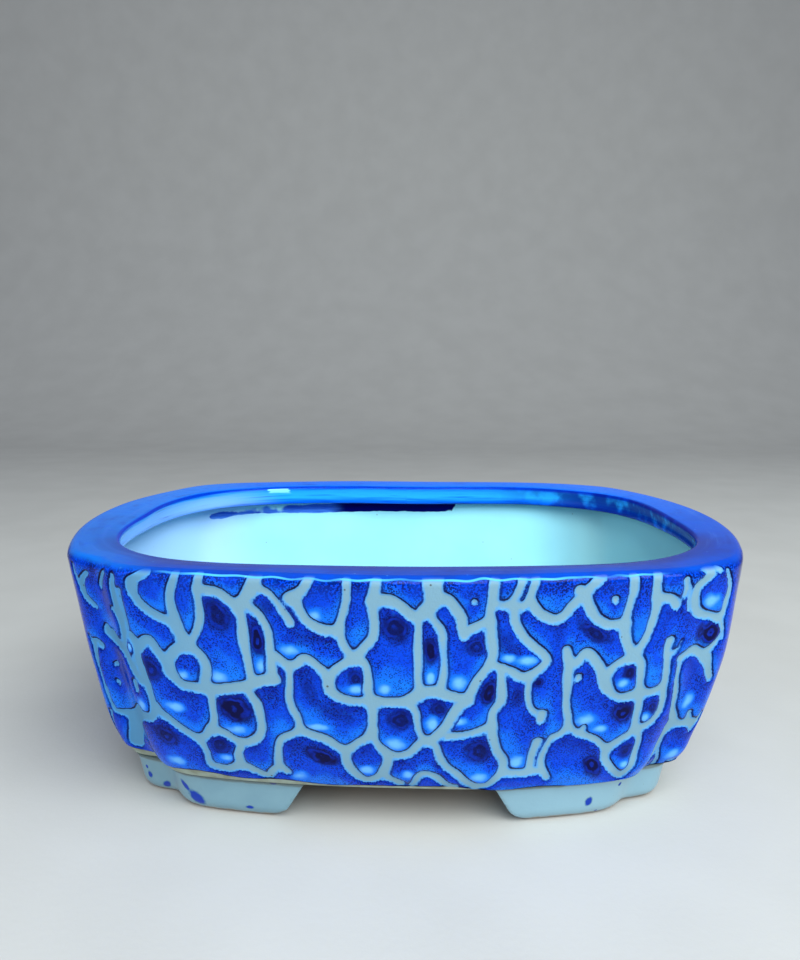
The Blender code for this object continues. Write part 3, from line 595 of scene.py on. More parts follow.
class SoftUnion:
    """Distance to the nearest of many lines, with the corners where they meet rounded off."""

    def __init__(self, points):
        self.points = points
        self.total = np.full(len(points), math.exp(-FAR / WEB))

    def add_path(self, path, radii):
        low = path.min(0) - FAR
        high = path.max(0) + FAR
        near = np.all((self.points > low) & (self.points < high), axis=1)
        gap = distance_to_path(self.points[near], path, radii)
        self.total[near] += np.exp(-np.minimum(gap, FAR) / WEB)

    def add_field(self, field):
        self.total += np.exp(-np.clip(field, -6, FAR) / WEB)

    def result(self):
        return -WEB * np.log(self.total)


def distances_around(ring):
    """The way round a closed ring from its first point to each of its points, and back to it."""
    steps = np.linalg.norm(np.roll(ring, -1, 0) - ring, axis=1)
    return np.concatenate([[0], np.cumsum(steps)])


def island_centres(rng):
    """Centres of the glaze islands on the sides and the back, in millimetres, in rough courses."""
    centres = []
    for course, z in enumerate((68.0, 55.0, 43.0, 31.0, 20.0)):
        inset = float(profile_inset(np.array(z * MM)))
        angles = column_angles(inset, z * MM)
        ring = plan_ring(z * MM, inset, crease_at(z * MM), angles) / MM
        around = distances_around(ring)
        count = int(around[-1] / (11.5, 12.5, 13.5, 13.0, 12.5)[course])
        for i in range(count):
            where = (i + 0.5 * (course % 2) + rng.uniform(-0.3, 0.3)) / count % 1 * around[-1]
            column = int(np.searchsorted(around, where)) % len(ring)
            centres.append((*ring[column][:2], z + rng.uniform(-3.8, 3.8)))
    return np.array(centres)


def ellipse_gap(points, centre, half_width, half_height, tilt, out):
    """Ellipse measure, 1 on its edge, for marks on a wall that faces along out."""
    across = np.array((-out[1], out[0], 0.0))
    across /= np.linalg.norm(across)
    offset = points - centre
    u = offset @ across
    v = offset[:, 2]
    depth = offset @ (np.array(out) / np.linalg.norm(out))
    turn = math.radians(tilt)
    a = (u * math.cos(turn) + v * math.sin(turn)) / half_width
    b = (-u * math.sin(turn) + v * math.cos(turn)) / half_height
    return np.sqrt(a * a + b * b + (depth / (half_width + half_height)) ** 2)


def glaze_fields(points, around):
    """The outer wall's fields. Points are in millimetres, and around is each column's distance
    along the rim from the front centre."""
    rng = np.random.default_rng(SEED)
    hand = np.clip((HAND_LAID - np.abs(around)) / 6, 0, 1)
    hand = np.tile(hand, len(points) // COLUMNS)
    made = np.tile(np.abs(around) > HAND_LAID - 7, len(points) // COLUMNS)
    wobble = np.stack([ripple(points, 9, 5, SEED + k) for k in (11, 12, 13)], 1)
    lines = SoftUnion(points + 0.22 * wobble)
    for first, last, *places in LINES:
        width = np.linspace(first, last, len(places))
        rows = curve_through([(x, z, w) for (x, z), w in zip(places, width)])
        lines.add_path(on_the_wall(rows[:, 0], rows[:, 1]), rows[:, 2] / 2)

    centres = island_centres(rng)
    names = np.arange(len(centres))
    for first in rng.permutation(len(centres))[: len(centres) // 4]:
        gaps = np.linalg.norm(centres - centres[first], axis=1)
        gaps[first] = np.inf
        names[names == names[first]] = names[int(np.argmin(gaps))]
    warped = points[made] + 1.5 * wobble[made]
    squeeze = np.array((1.0, 1.0, 0.82))
    gaps = np.linalg.norm((warped[:, None] - centres[None]) * squeeze, axis=2)
    reach = np.stack([gaps[:, names == name].min(1) for name in np.unique(names)], 1)
    nearest = reach.min(1)
    border = (reach**2 - nearest[:, None] ** 2) / (2 * ISLAND_PITCH)
    border[np.arange(len(border)), reach.argmin(1)] = FAR
    border = np.minimum(border, FAR)
    edge_gap = -2 * WEB * np.log(np.exp(-border / (2 * WEB)).sum(1))
    half_line = 1.15 + 0.4 * ripple(points[made], 14, 5, SEED + 20)
    field = np.full(len(points), FAR)
    field[made] = edge_gap - half_line + FAR * hand[made]
    lines.add_field(field)
    line = lines.result()

    heart = np.full(len(points), FAR_MARK)
    darkness = np.zeros(len(points))
    pool = np.full(len(points), FAR_MARK)

    def mark(measure, centre, a, b, out, tilt=0, dark=0):
        near = np.flatnonzero(np.linalg.norm(points - centre, axis=1) < 3 * max(a, b))
        gap = ellipse_gap(points[near], centre, a, b, tilt, out)
        nearer = gap < measure[near]
        measure[near[nearer]] = gap[nearer]
        if measure is heart:
            darkness[near[nearer]] = dark

    for measure, table in ((heart, HEARTS), (pool, POOLS)):
        for x, z, a, b, *tilt_and_dark in table:
            centre = on_the_wall([x], [z])[0]
            mark(measure, centre, a, b, outwards(*centre[:2]), *tilt_and_dark)
    top_row = points[-COLUMNS:, :2]
    for centre in centres:
        lucky, size, shift = rng.uniform(size=3)
        x, y = centre[:2]
        column = np.argmin(np.linalg.norm(top_row - (x, y), axis=1))
        if np.abs(around[column]) < HAND_LAID + 2:
            continue
        out = outwards(x, y) if abs(y) > 45 else (x, y / 4, 0)
        size = 1.6 + 2.0 * size
        if lucky < 0.75:
            mark(heart, centre + (0, 0, 1.8), size, size * (0.8 + shift), out, 60 * shift - 30,
                 0.55 + 0.45 * lucky)
        if lucky > 0.15:
            mark(pool, centre + (0, 0, -4.2), 1.4 + 1.6 * shift, 1.2 + 0.8 * lucky, out)
    return line, heart, darkness, pool


def reach_along_columns(line, heights):
    """How far each point is above its island's lower edge, as a share of the island's height."""
    rows = line.shape[0]
    below = np.zeros_like(line)
    above = np.zeros_like(line)
    for row in range(1, rows):
        rise = heights[row] - heights[row - 1]
        below[row] = np.where(line[row] > 0, below[row - 1] + rise, 0)
    above[-1] = 1.0
    for row in range(rows - 2, -1, -1):
        rise = heights[row + 1] - heights[row]
        above[row] = np.where(line[row] > 0, above[row + 1] + rise, 0)
    share = below / np.maximum(below + above, 0.5)
    for _ in range(5):
        share = (share + np.roll(share, 1, 1) + np.roll(share, -1, 1)) / 3
    return share


# ---------------------------------------------------------------- meshes


def new_object(name, data, made_of=None):
    obj = bpy.data.objects.new(name, data)
    if made_of:
        data.materials.append(made_of)
    bpy.context.scene.collection.objects.link(obj)
    return obj


def stand_in(obj, node):
    """Shows the object in place of a node of the CAD."""
    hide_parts(node)
    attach(obj, "root")


def add_field(mesh, name, values):
    layer = mesh.attributes.new(name, "FLOAT", "POINT")
    layer.data.foreach_set("value", np.asarray(values, np.float32))


def mesh_object(name, points, faces, made_of, fields=None, sharp_from=50):
    mesh = bpy.data.meshes.new(name)
    mesh.from_pydata([tuple(p) for p in points], [], faces)
    bm = bmesh.new()
    bm.from_mesh(mesh)
    bmesh.ops.recalc_face_normals(bm, faces=bm.faces)
    bm.to_mesh(mesh)
    bm.free()
    for field, values in (fields or {}).items():
        add_field(mesh, field, values)
    mesh.shade_smooth()
    mesh.set_sharp_from_angle(angle=math.radians(sharp_from))
    return new_object(name, mesh, made_of)


def applied(obj):
    """Puts the modifiers' result in the object's own mesh."""
    graph = bpy.context.evaluated_depsgraph_get()
    graph.update()
    made = bpy.data.meshes.new_from_object(obj.evaluated_get(graph))
    old = obj.data
    obj.modifiers.clear()
    obj.data = made
    bpy.data.meshes.remove(old)
    return made


def add_ring(points, ring):
    """Adds points and returns their indices."""
    first = len(points)
    points += [tuple(p) for p in ring]
    return range(first, len(points))


def loop_faces(first, second):
    """Quads between two closed loops of as many indices."""
    count = len(first)
    turned = [(k + 1) % count for k in range(count)]
    return [(first[k], first[n], second[n], second[k]) for k, n in enumerate(turned)]


def step_faces(fine, coarse):
    """Faces between a fine loop and one that has an index for every few of its own."""
    count = len(coarse)
    every = len(fine) // count
    faces = []
    for i in range(count):
        own = [fine[(i * every + k) % len(fine)] for k in range(every + 1)]
        faces.append((*own, coarse[(i + 1) % count], coarse[i]))
    return faces


def plate_with_holes(points, ring, z, down):
    """Fills a closed ring with a flat that has the two drain holes, whose edges are rounded towards
    down. Adds the points it needs and returns the faces and each hole's loop of indices."""
    front = len(ring) // 2
    across = 40
    far = np.array(points[ring[0]])
    near = np.array(points[ring[front]])
    shares = [i / across for i in range(1, across)]
    middle = list(add_ring(points, [near * (1 - share) + far * share for share in shares]))
    left = [*ring[: front + 1], *middle]
    right = [*ring[front:], ring[0], *middle[::-1]]
    faces = []
    loops = []
    for side, previous in ((-1, left), (1, right)):
        centre = np.array((side * HOLE_X, 0.0))
        corners = np.array([points[k] for k in previous])[:, :2]
        towards = corners - centre
        towards /= np.linalg.norm(towards, axis=1)[:, None]
        wide = HOLE_RADIUS + HOLE_ROUNDING
        edge = centre + towards * wide
        levels = [(corners * (1 - share) + edge * share, z) for share in (0.25, 0.5, 0.75, 1.0)]
        for turn in np.radians((30, 60, 90)):
            narrow = wide - HOLE_ROUNDING * math.sin(turn)
            rise = HOLE_ROUNDING * (1 - math.cos(turn)) * down
            levels.append((centre + towards * narrow, z + rise))
        for flat, height in levels:
            level = add_ring(points, [(x, y, height) for x, y in flat])
            faces += loop_faces(previous, level)
            previous = level
        loops.append(previous)
    return faces, loops


def quarter_turns(steps):
    return [math.pi / 2 * (i + 1) / steps for i in range(steps)]


def outer_levels():
    """(height, inset) of the outside, from the underside's edge up to the rim's flat."""
    low_inset = WALL_PROFILE[0][1]
    levels = []
    for turn in (0.0, *quarter_turns(4)[:-1]):
        rise = (1 - math.cos(turn)) * (WALL_FOOT - UNDERSIDE_Z)
        levels.append((UNDERSIDE_Z + rise, low_inset + BASE_TUCK * (1 - math.sin(turn))))
    heights = np.linspace(WALL_FOOT, HEIGHT - EDGE_ROUNDING, WALL_ROWS)
    levels += list(zip(heights, profile_inset(heights)))
    for turn in quarter_turns(6):
        fall = EDGE_ROUNDING * (1 - math.sin(turn))
        levels.append((HEIGHT - fall, EDGE_ROUNDING * (1 - math.cos(turn))))
    levels += [(HEIGHT, EDGE_ROUNDING + (LAND - EDGE_ROUNDING) * i / 2) for i in (1, 2)]
    return levels


def inner_levels():
    """(height, inset) of the inside, from under the rim ring down to the floor's edge."""
    heights = np.linspace(HEIGHT - LIP_HEIGHT, FLOOR_Z + FLOOR_FILLET, 16)
    levels = [(z, float(profile_inset(z)) + WALL) for z in heights]
    corner_inset = levels[-1][1]
    for turn in quarter_turns(6):
        rise = FLOOR_FILLET * (1 - math.sin(turn))
        levels.append((FLOOR_Z + rise, corner_inset + FLOOR_FILLET * (1 - math.cos(turn))))
    return levels


def outside_fields(rings):
    """The fields of the outside, by name, for rows of points in metres."""
    places = rings / MM
    heights = places[..., 2]
    around = distances_around(places[-4])[:-1]
    around -= around[sum(SPAN_COLUMNS[:4])]
    fields = glaze_fields(places.reshape(-1, 3), around)
    line, heart, darkness, pool = (field.reshape(heights.shape) for field in fields)
    below = np.gradient(line, axis=0) / np.maximum(np.gradient(heights, axis=0), 0.05)

    # The glaze ends a little lower towards the front's right
    x = places[..., 0]
    glazed_lower = 1.1 * smoothstep(-54, -38, x) + 1.5 * smoothstep(12, 32, x)
    foot_line = GLAZE_ENDS_Z - glazed_lower * (places[..., 1] < 0)
    foot_line += 0.35 * ripple(places * (1, 1, 0), 17, 5, SEED + 30)
    rim = smoothstep(73.6, 75.0, heights + 0.12 * ripple(places, 6, 4, SEED + 31))
    rim[-2:] = 1.0
    return {
        "line": line,
        "below": np.clip(below, -1, 1),
        "island": reach_along_columns(line, heights),
        "heart": heart,
        "dark": darkness,
        "pool": pool,
        "edge": heights - foot_line,
        "rim": rim,
    }


def glazed(rings, fields):
    """The outside with the glaze's thickness on it."""
    shoulder = np.clip(fields["line"] / GLAZE_SHOULDER, 0, 1)
    proud = GLAZE_PROUD * np.sqrt(1 - (1 - shoulder) ** 2)
    proud *= smoothstep(-0.2, 0.9, fields["edge"]) * (1 - fields["rim"])
    proud += RIM_PROUD * fields["rim"]
    along = np.roll(rings, -1, 1) - np.roll(rings, 1, 1)
    normal = np.cross(along, np.gradient(rings, axis=0))
    normal /= np.linalg.norm(normal, axis=2)[..., None]
    upright = 1 - smoothstep(HEIGHT - EDGE_ROUNDING, HEIGHT, rings[..., 2:3] + 0.0006)
    return rings + normal * (proud * MM)[..., None] * upright


def build_body(glaze):
    """The shell with its floor and drain holes. Returns the outline where the rim ring begins."""
    levels = outer_levels()
    rings = hand_made(np.array([plan_ring(z, inset, crease_at(z)) for z, inset in levels]))
    outside = outside_fields(rings)
    rings = glazed(rings, outside)
    seam = rings[-1]

    points = []
    loops = [add_ring(points, ring) for ring in rings]
    outside_end = len(points)
    lower = seam.copy()
    lower[:, 2] = HEIGHT - LIP_HEIGHT - 0.0003
    loops.append(add_ring(points, lower))
    faces = []
    for first, second in zip(loops, loops[1:]):
        faces += loop_faces(first, second)

    spans = [n // COARSER for n in SPAN_COLUMNS]
    inside = []
    for z, inset in inner_levels():
        ring = plan_ring(z, inset, INNER_CREASE, column_angles(inset, z, spans))
        ring[:, :2] *= (1 + 0.0012 * ripple(ring, 0.05, 6, SEED + 3))[:, None]
        inside.append(add_ring(points, ring))
    faces += step_faces(loops[-1], inside[0])
    for first, second in zip(inside, inside[1:]):
        faces += loop_faces(first, second)
    plate, floor_holes = plate_with_holes(points, inside[-1], FLOOR_Z, -1)
    faces += plate
    inside_end = len(points)

    inset = levels[0][1] + 0.004
    ring = plan_ring(UNDERSIDE_Z, inset, BASE_CREASE, column_angles(inset, UNDERSIDE_Z, spans))
    bottom = add_ring(points, ring)
    faces += step_faces(loops[0], bottom)
    plate, under_holes = plate_with_holes(points, bottom, UNDERSIDE_Z, 1)
    faces += plate
    for upper, lower in zip(floor_holes, under_holes):
        faces += loop_faces(upper, lower)

    elsewhere = {"line": FAR, "heart": FAR_MARK, "pool": FAR_MARK, "edge": -5}
    fields = {}
    for name, values in outside.items():
        fields[name] = np.full(len(points), float(elsewhere.get(name, 0)))
        fields[name][:outside_end] = values.ravel()
    index = np.arange(len(points))
    fields["white"] = (index >= outside_end) & (index < inside_end)
    fields["bare"] = (index >= inside_end) | (index < COLUMNS)
    stroke = inner_stroke(np.array(points) / MM, fields["white"])
    fields["stroke"], fields["stroke_dark"] = stroke
    body = mesh_object("pot_body_glazed", points, faces, glaze, fields, sharp_from=65)
    stand_in(body, "pot_body")
    return seam


def inner_stroke(points, inside):
    """Distance in millimetres to the blue stroke under the lip at the back, and its darkness."""
    x, z, width = np.array(INNER_STROKE).T
    near = inside & (points[:, 1] > 30) & (points[:, 2] > 50)
    gap = np.full(len(points), FAR)
    gap[near] = distance_to_path(points[near], on_the_wall(x, z, inside_back=True), width / 2)
    return gap, smoothstep(-33, -25, points[:, 0])


def opening_ring(z, inwards, angles):
    """The opening's smooth outline, moved in towards the centre."""
    across = np.abs(np.cos(angles)) / (OPENING_HALF_LENGTH - inwards)
    along = np.abs(np.sin(angles)) / (OPENING_HALF_WIDTH - inwards)
    reach = (across**OPENING_EXPONENT + along**OPENING_EXPONENT) ** (-1 / OPENING_EXPONENT)
    across = reach * np.cos(angles) + OPENING_OFFSET
    return np.stack([across, reach * np.sin(angles), np.full_like(reach, z)], 1)


def build_rim(glaze, seam):
    """The rim's flat and the lip inside it, joined to the wall's top without a step. The field lip
    grows from the outer edge (0) by the head of the lip (about 0.4) to the lip's foot (1)."""
    angles = column_angles(LAND, HEIGHT)
    inner_z = HEIGHT - RIM_FALL
    sag = seam[:, 2] - HEIGHT
    rings = [seam]
    lips = [0.0]
    edge = opening_ring(inner_z, -LIP_ROUNDING, angles)
    for share in np.arange(1, 8) / 8:
        ring = seam * (1 - share) + edge * share
        ring[:, 2] = HEIGHT - RIM_FALL * share**1.6 + sag
        rings.append(ring)
        lips.append(0.25 * share)
    for turn in (0.0, *quarter_turns(5)):
        z = inner_z - LIP_ROUNDING * (1 - math.cos(turn))
        ring = opening_ring(z, LIP_ROUNDING * (math.sin(turn) - 1), angles)
        ring[:, 2] += sag
        rings.append(ring)
        lips.append(0.25 + 0.15 * turn)
    deeper = 0.0017 * smoothstep(-0.02, 0.04, seam[:, 1])  # at the back
    lip_foot = HEIGHT - LIP_HEIGHT + LIP_ROUNDING
    lip_head = inner_z - LIP_ROUNDING
    for share in np.arange(1, 8) / 7:
        swell = -0.0004 * math.sin(math.pi * share)
        ring = opening_ring(lip_head + (lip_foot - lip_head) * share, swell, angles)
        ring[:, 2] += sag - deeper * share
        ring[:, :2] *= (1 + 0.0008 * ripple(ring * (1, 1, 0.5), 0.035, 5, SEED + 5))[:, None]
        rings.append(ring)
        lips.append(0.48 + 0.37 * share)
    for turn in quarter_turns(4):
        outwards_again = LIP_ROUNDING * (1 - math.cos(turn))
        ring = opening_ring(lip_foot - LIP_ROUNDING * math.sin(turn), -outwards_again, angles)
        ring[:, 2] += sag - deeper
        rings.append(ring)
        lips.append(0.85 + 0.1 * turn)
    rings.append(plan_ring(HEIGHT - LIP_HEIGHT, LAND, RIM_CREASE, angles))
    lips.append(1.0)
    points = []
    loops = [add_ring(points, ring) for ring in rings]
    faces = []
    for first, second in zip(loops, loops[1:] + loops[:1]):
        faces += loop_faces(first, second)
    around = np.tile(np.unwrap(angles), len(rings))
    fields = {"lip": np.repeat(lips, COLUMNS), "around": around}
    ring = mesh_object("rim_ring_glazed", points, faces, glaze, fields, sharp_from=65)
    stand_in(ring, "rim_ring")


def foot_ring(turns, inset, quadrant):
    """Points of the feet's outline in a quadrant, for turns from the pot's length to its width."""
    angles = np.arctan2(quadrant[1] * np.sin(turns), quadrant[0] * np.cos(turns))
    return plan_ring(0.0, inset, FOOT_CREASE, angles, FOOT_FORWARD)


def turn_where(axis, wanted, inset, quadrant):
    """The turn at which the feet's outline reaches a distance along an axis."""
    low = 0.0
    high = math.pi / 2
    for _ in range(40):
        middle = (low + high) / 2
        reach = abs(foot_ring(np.array([middle]), inset, quadrant)[0][axis])
        if (reach < wanted) == (axis == 1):
            low = middle
        else:
            high = middle
    return low


def foot_outline(share, quadrant, ends):
    """The foot's closed outline at a share of its height, from its end by the side lobe."""
    inset = FOOT_INSET_BOTTOM + (FOOT_INSET_TOP - FOOT_INSET_BOTTOM) * share
    inset -= 0.0008 * max(0.0, (share - 0.82) / 0.18) ** 2
    low = max(0.0, 1 - share / 0.3) ** 2
    inset += FOOT_EDGE_ROUNDING[0] * low
    end_x = ends[0] - FOOT_TOP_SETBACK[0] * share + FOOT_EDGE_ROUNDING[1] * low
    end_y = ends[1] - FOOT_TOP_SETBACK[1] * share + FOOT_EDGE_ROUNDING[1] * low
    first = turn_where(1, end_y, inset, quadrant)
    last = turn_where(0, end_x, inset, quadrant)
    outside = foot_ring(np.linspace(first, last, FOOT_SAMPLES), inset, quadrant)[:, :2]
    behind = inset + LONG_STEP_BASE[2] + FOOT_CORNER_THICKNESS
    inside = (
        (quadrant[0] * end_x, outside[-1][1] - quadrant[1] * FOOT_THICKNESS),
        (quadrant[0] * (HALF_LENGTH - behind), quadrant[1] * (HALF_WIDTH - behind)),
        (outside[0][0] - quadrant[0] * FOOT_THICKNESS, quadrant[1] * end_y),
    )
    return np.vstack([outside, inside])


def build_foot(name, glaze):
    low, high = FOOT_ENDS[name]
    quadrant = (1 if low.x > 0 else -1, 1 if low.y > 0 else -1)
    end_x = min(abs(low.x), abs(high.x)) + FOOT_TOP_SETBACK[0] - FOOT_INNER_SHIFT.get(name, 0)
    end_y = min(abs(low.y), abs(high.y)) + FOOT_TOP_SETBACK[1]
    top_z = UNDERSIDE_Z + 0.0004

    def outline_at(share):
        return foot_outline(share, quadrant, (end_x, end_y)) * (FOOT_NARROWING.get(name, 1), 1)

    points = []
    loops = []
    for share in np.arange(FOOT_LEVELS) / (FOOT_LEVELS - 1):
        loops.append(add_ring(points, [(x, y, top_z * share) for x, y in outline_at(share)]))
    faces = []
    for first, second in zip(loops, loops[1:]):
        faces += loop_faces(first, second)
    faces += [tuple(loops[0]), tuple(loops[-1])]
    foot = mesh_object(name + "_glazed", points, faces, glaze)
    remesh = foot.modifiers.new("even", "REMESH")
    remesh.mode = "VOXEL"
    remesh.voxel_size = FOOT_VOXEL
    remesh.use_smooth_shade = True
    soften = foot.modifiers.new("soften", "SMOOTH")
    soften.factor = 0.5
    soften.iterations = FOOT_SMOOTHING
    mesh = applied(foot)

    # The smoothing lifts the sole off the ground: stretch the foot down to it again
    place = np.empty(len(mesh.vertices) * 3)
    mesh.vertices.foreach_get("co", place)
    place = place.reshape(-1, 3)
    place[:, 2] -= place[:, 2].min() * (1 - np.clip(place[:, 2] / top_z, 0, 1))
    mesh.vertices.foreach_set("co", place.ravel())
    splash = np.full(len(place), FAR_MARK)
    for x, y, z, a, b, tilt in FOOT_SPLASHES[name]:
        outline = outline_at(z * MM / top_z)[:FOOT_SAMPLES] / MM
        nearest = outline[np.argmin(np.abs(outline - (x, y)) @ (1, 0.3))]
        gap = ellipse_gap(place / MM, (*nearest, z), a, b, tilt, outwards(x, y))
        splash = np.minimum(splash, gap)
    add_field(mesh, "splash", splash)
    mesh.shade_smooth()
    stand_in(foot, name)


# ---------------------------------------------------------------- materials


class Shader:
    """One material's nodes. Values are sockets, numbers or colours."""

    def __init__(self, name):
        self.material = bpy.data.materials.new(name)
        self.material.use_nodes = True
        self.tree = self.material.node_tree
        self.surface = self.tree.nodes["Principled BSDF"]
        self.place = self.node("TexCoord").outputs["Object"]

    def feed(self, socket, value):
        if isinstance(value, bpy.types.NodeSocket):
            self.tree.links.new(value, socket)
        else:
            socket.default_value = value

    def node(self, kind, inputs=()):
        """A node with values for its inputs, by name or number."""
        node = self.tree.nodes.new("ShaderNode" + kind)
        for name, value in dict(inputs).items():
            self.feed(node.inputs[name], value)
        return node

    def math(self, operation, a, b=0.0, clamp=False):
        node = self.node("Math", {0: a, 1: b})
        node.operation = operation
        node.use_clamp = clamp
        return node.outputs[0]

    def add(self, *values):
        return functools.reduce(lambda a, b: self.math("ADD", a, b), values)

    def times(self, *values):
        return functools.reduce(lambda a, b: self.math("MULTIPLY", a, b), values)

    def less(self, a, b):
        return self.math("SUBTRACT", a, b)

    def rest(self, share):
        return self.less(1.0, share)

    def step(self, value, low, high):
        """0 below low and 1 above high, or the other way round when low is the larger."""
        ends = (low, high, 0.0, 1.0) if low < high else (high, low, 1.0, 0.0)
        names = ("From Min", "From Max", "To Min", "To Max")
        node = self.node("MapRange", {"Value": value, **dict(zip(names, ends))})
        node.interpolation_type = "SMOOTHSTEP"
        return node.outputs["Result"]

    def band(self, value, centre, half, soft):
        """1 within half of a centre, falling to 0 over soft."""
        gap = self.math("ABSOLUTE", self.less(value, centre))
        return self.step(gap, half + soft, half)

    def mix(self, share, a, b):
        node = self.tree.nodes.new("ShaderNodeMix")
        node.data_type = "RGBA"
        for number, value in ((0, share), (6, a), (7, b)):
            self.feed(node.inputs[number], value)
        return node.outputs[2]

    def over(self, colour, tone, *shares):
        """The colour with a tone laid over it as strongly as the product of the shares."""
        return self.mix(self.times(*shares), colour, tone)

    def attribute(self, name):
        node = self.node("Attribute")
        node.attribute_name = name
        return node.outputs["Fac"]

    def axis(self, name):
        """One coordinate of the place, in metres."""
        return self.node("SeparateXYZ", {0: self.place}).outputs[name]

    def stretched(self, *scale):
        return self.node("Mapping", {"Vector": self.place, "Scale": scale}).outputs["Vector"]

    def noise(self, size, detail=2.0, vector=None):
        """Noise from about -1 to 1, whose bumps are about size long."""
        vector = vector or self.place
        node = self.node("TexNoise", {"Vector": vector, "Scale": 1 / size, "Detail": detail})
        return self.times(self.less(node.outputs["Fac"], 0.5), 3.0)

    def cloud(self, size, detail, low, high):
        """Noise as a share from 0 to 1."""
        return self.step(self.noise(size, detail), low, high)

    def dots(self, size):
        """Distance to the nearest of many scattered points, in cells."""
        node = self.node("TexVoronoi", {"Vector": self.place, "Scale": 1 / size})
        return node.outputs["Distance"]

    def finish(self, colour, roughness, height, specular=0.5):
        bump = self.node("Bump", {"Distance": MM, "Height": height})
        values = {
            "Base Color": colour,
            "Roughness": roughness,
            "Specular IOR Level": specular,
            "Normal": bump.outputs["Normal"],
        }
        for name, value in values.items():
            self.feed(self.surface.inputs[name], value)
        return self.material


def rim_colour(s):
    """Blue of the rim's flat: cobalt with violet clouds and pits, and its stipple, lighter towards the
    back and the left end as a painted reflection.
    """
    colour = s.mix(s.cloud(0.014, 3, -0.6, 0.7), RIM_TONE, RIM_VIOLET)
    # Painted reflection: lighter towards the back and towards the left end
    colour = s.over(colour, RIM_BACK_REFLECTION, s.step(s.axis("Y"), -0.05, 0.055), 0.85)
    colour = s.over(colour, RIM_LEFT_REFLECTION, s.step(s.axis("X"), -0.055, -0.085), 0.4)
    colour = s.over(colour, BLUE_MID, s.cloud(0.0022, 3, -0.2, 1.0), 0.35)
    return s.over(colour, HALO_TONE, s.step(s.dots(0.0045), 0.09, 0.05), 0.3)


def white_colour(s):
    """White liner glaze: pale, with faint clouds, pinholes and scuffs, with painted light at the left
    end and painted shade at the right end.
    """
    colour = s.mix(s.cloud(0.02, 3, -1.0, 1.0), WHITE_TONE, WHITE_SHADE)
    # Painted light towards the left end, painted shade towards the right end
    colour = s.over(colour, WHITE_LIT_LEFT, s.step(s.axis("X"), -0.052, -0.082), 0.8)
    colour = s.over(colour, WHITE_SHADED_RIGHT, s.step(s.axis("X"), 0.052, 0.082), 0.8)
    return s.over(colour, PINHOLE, s.step(s.dots(0.008), 0.05, 0.03), 0.5)


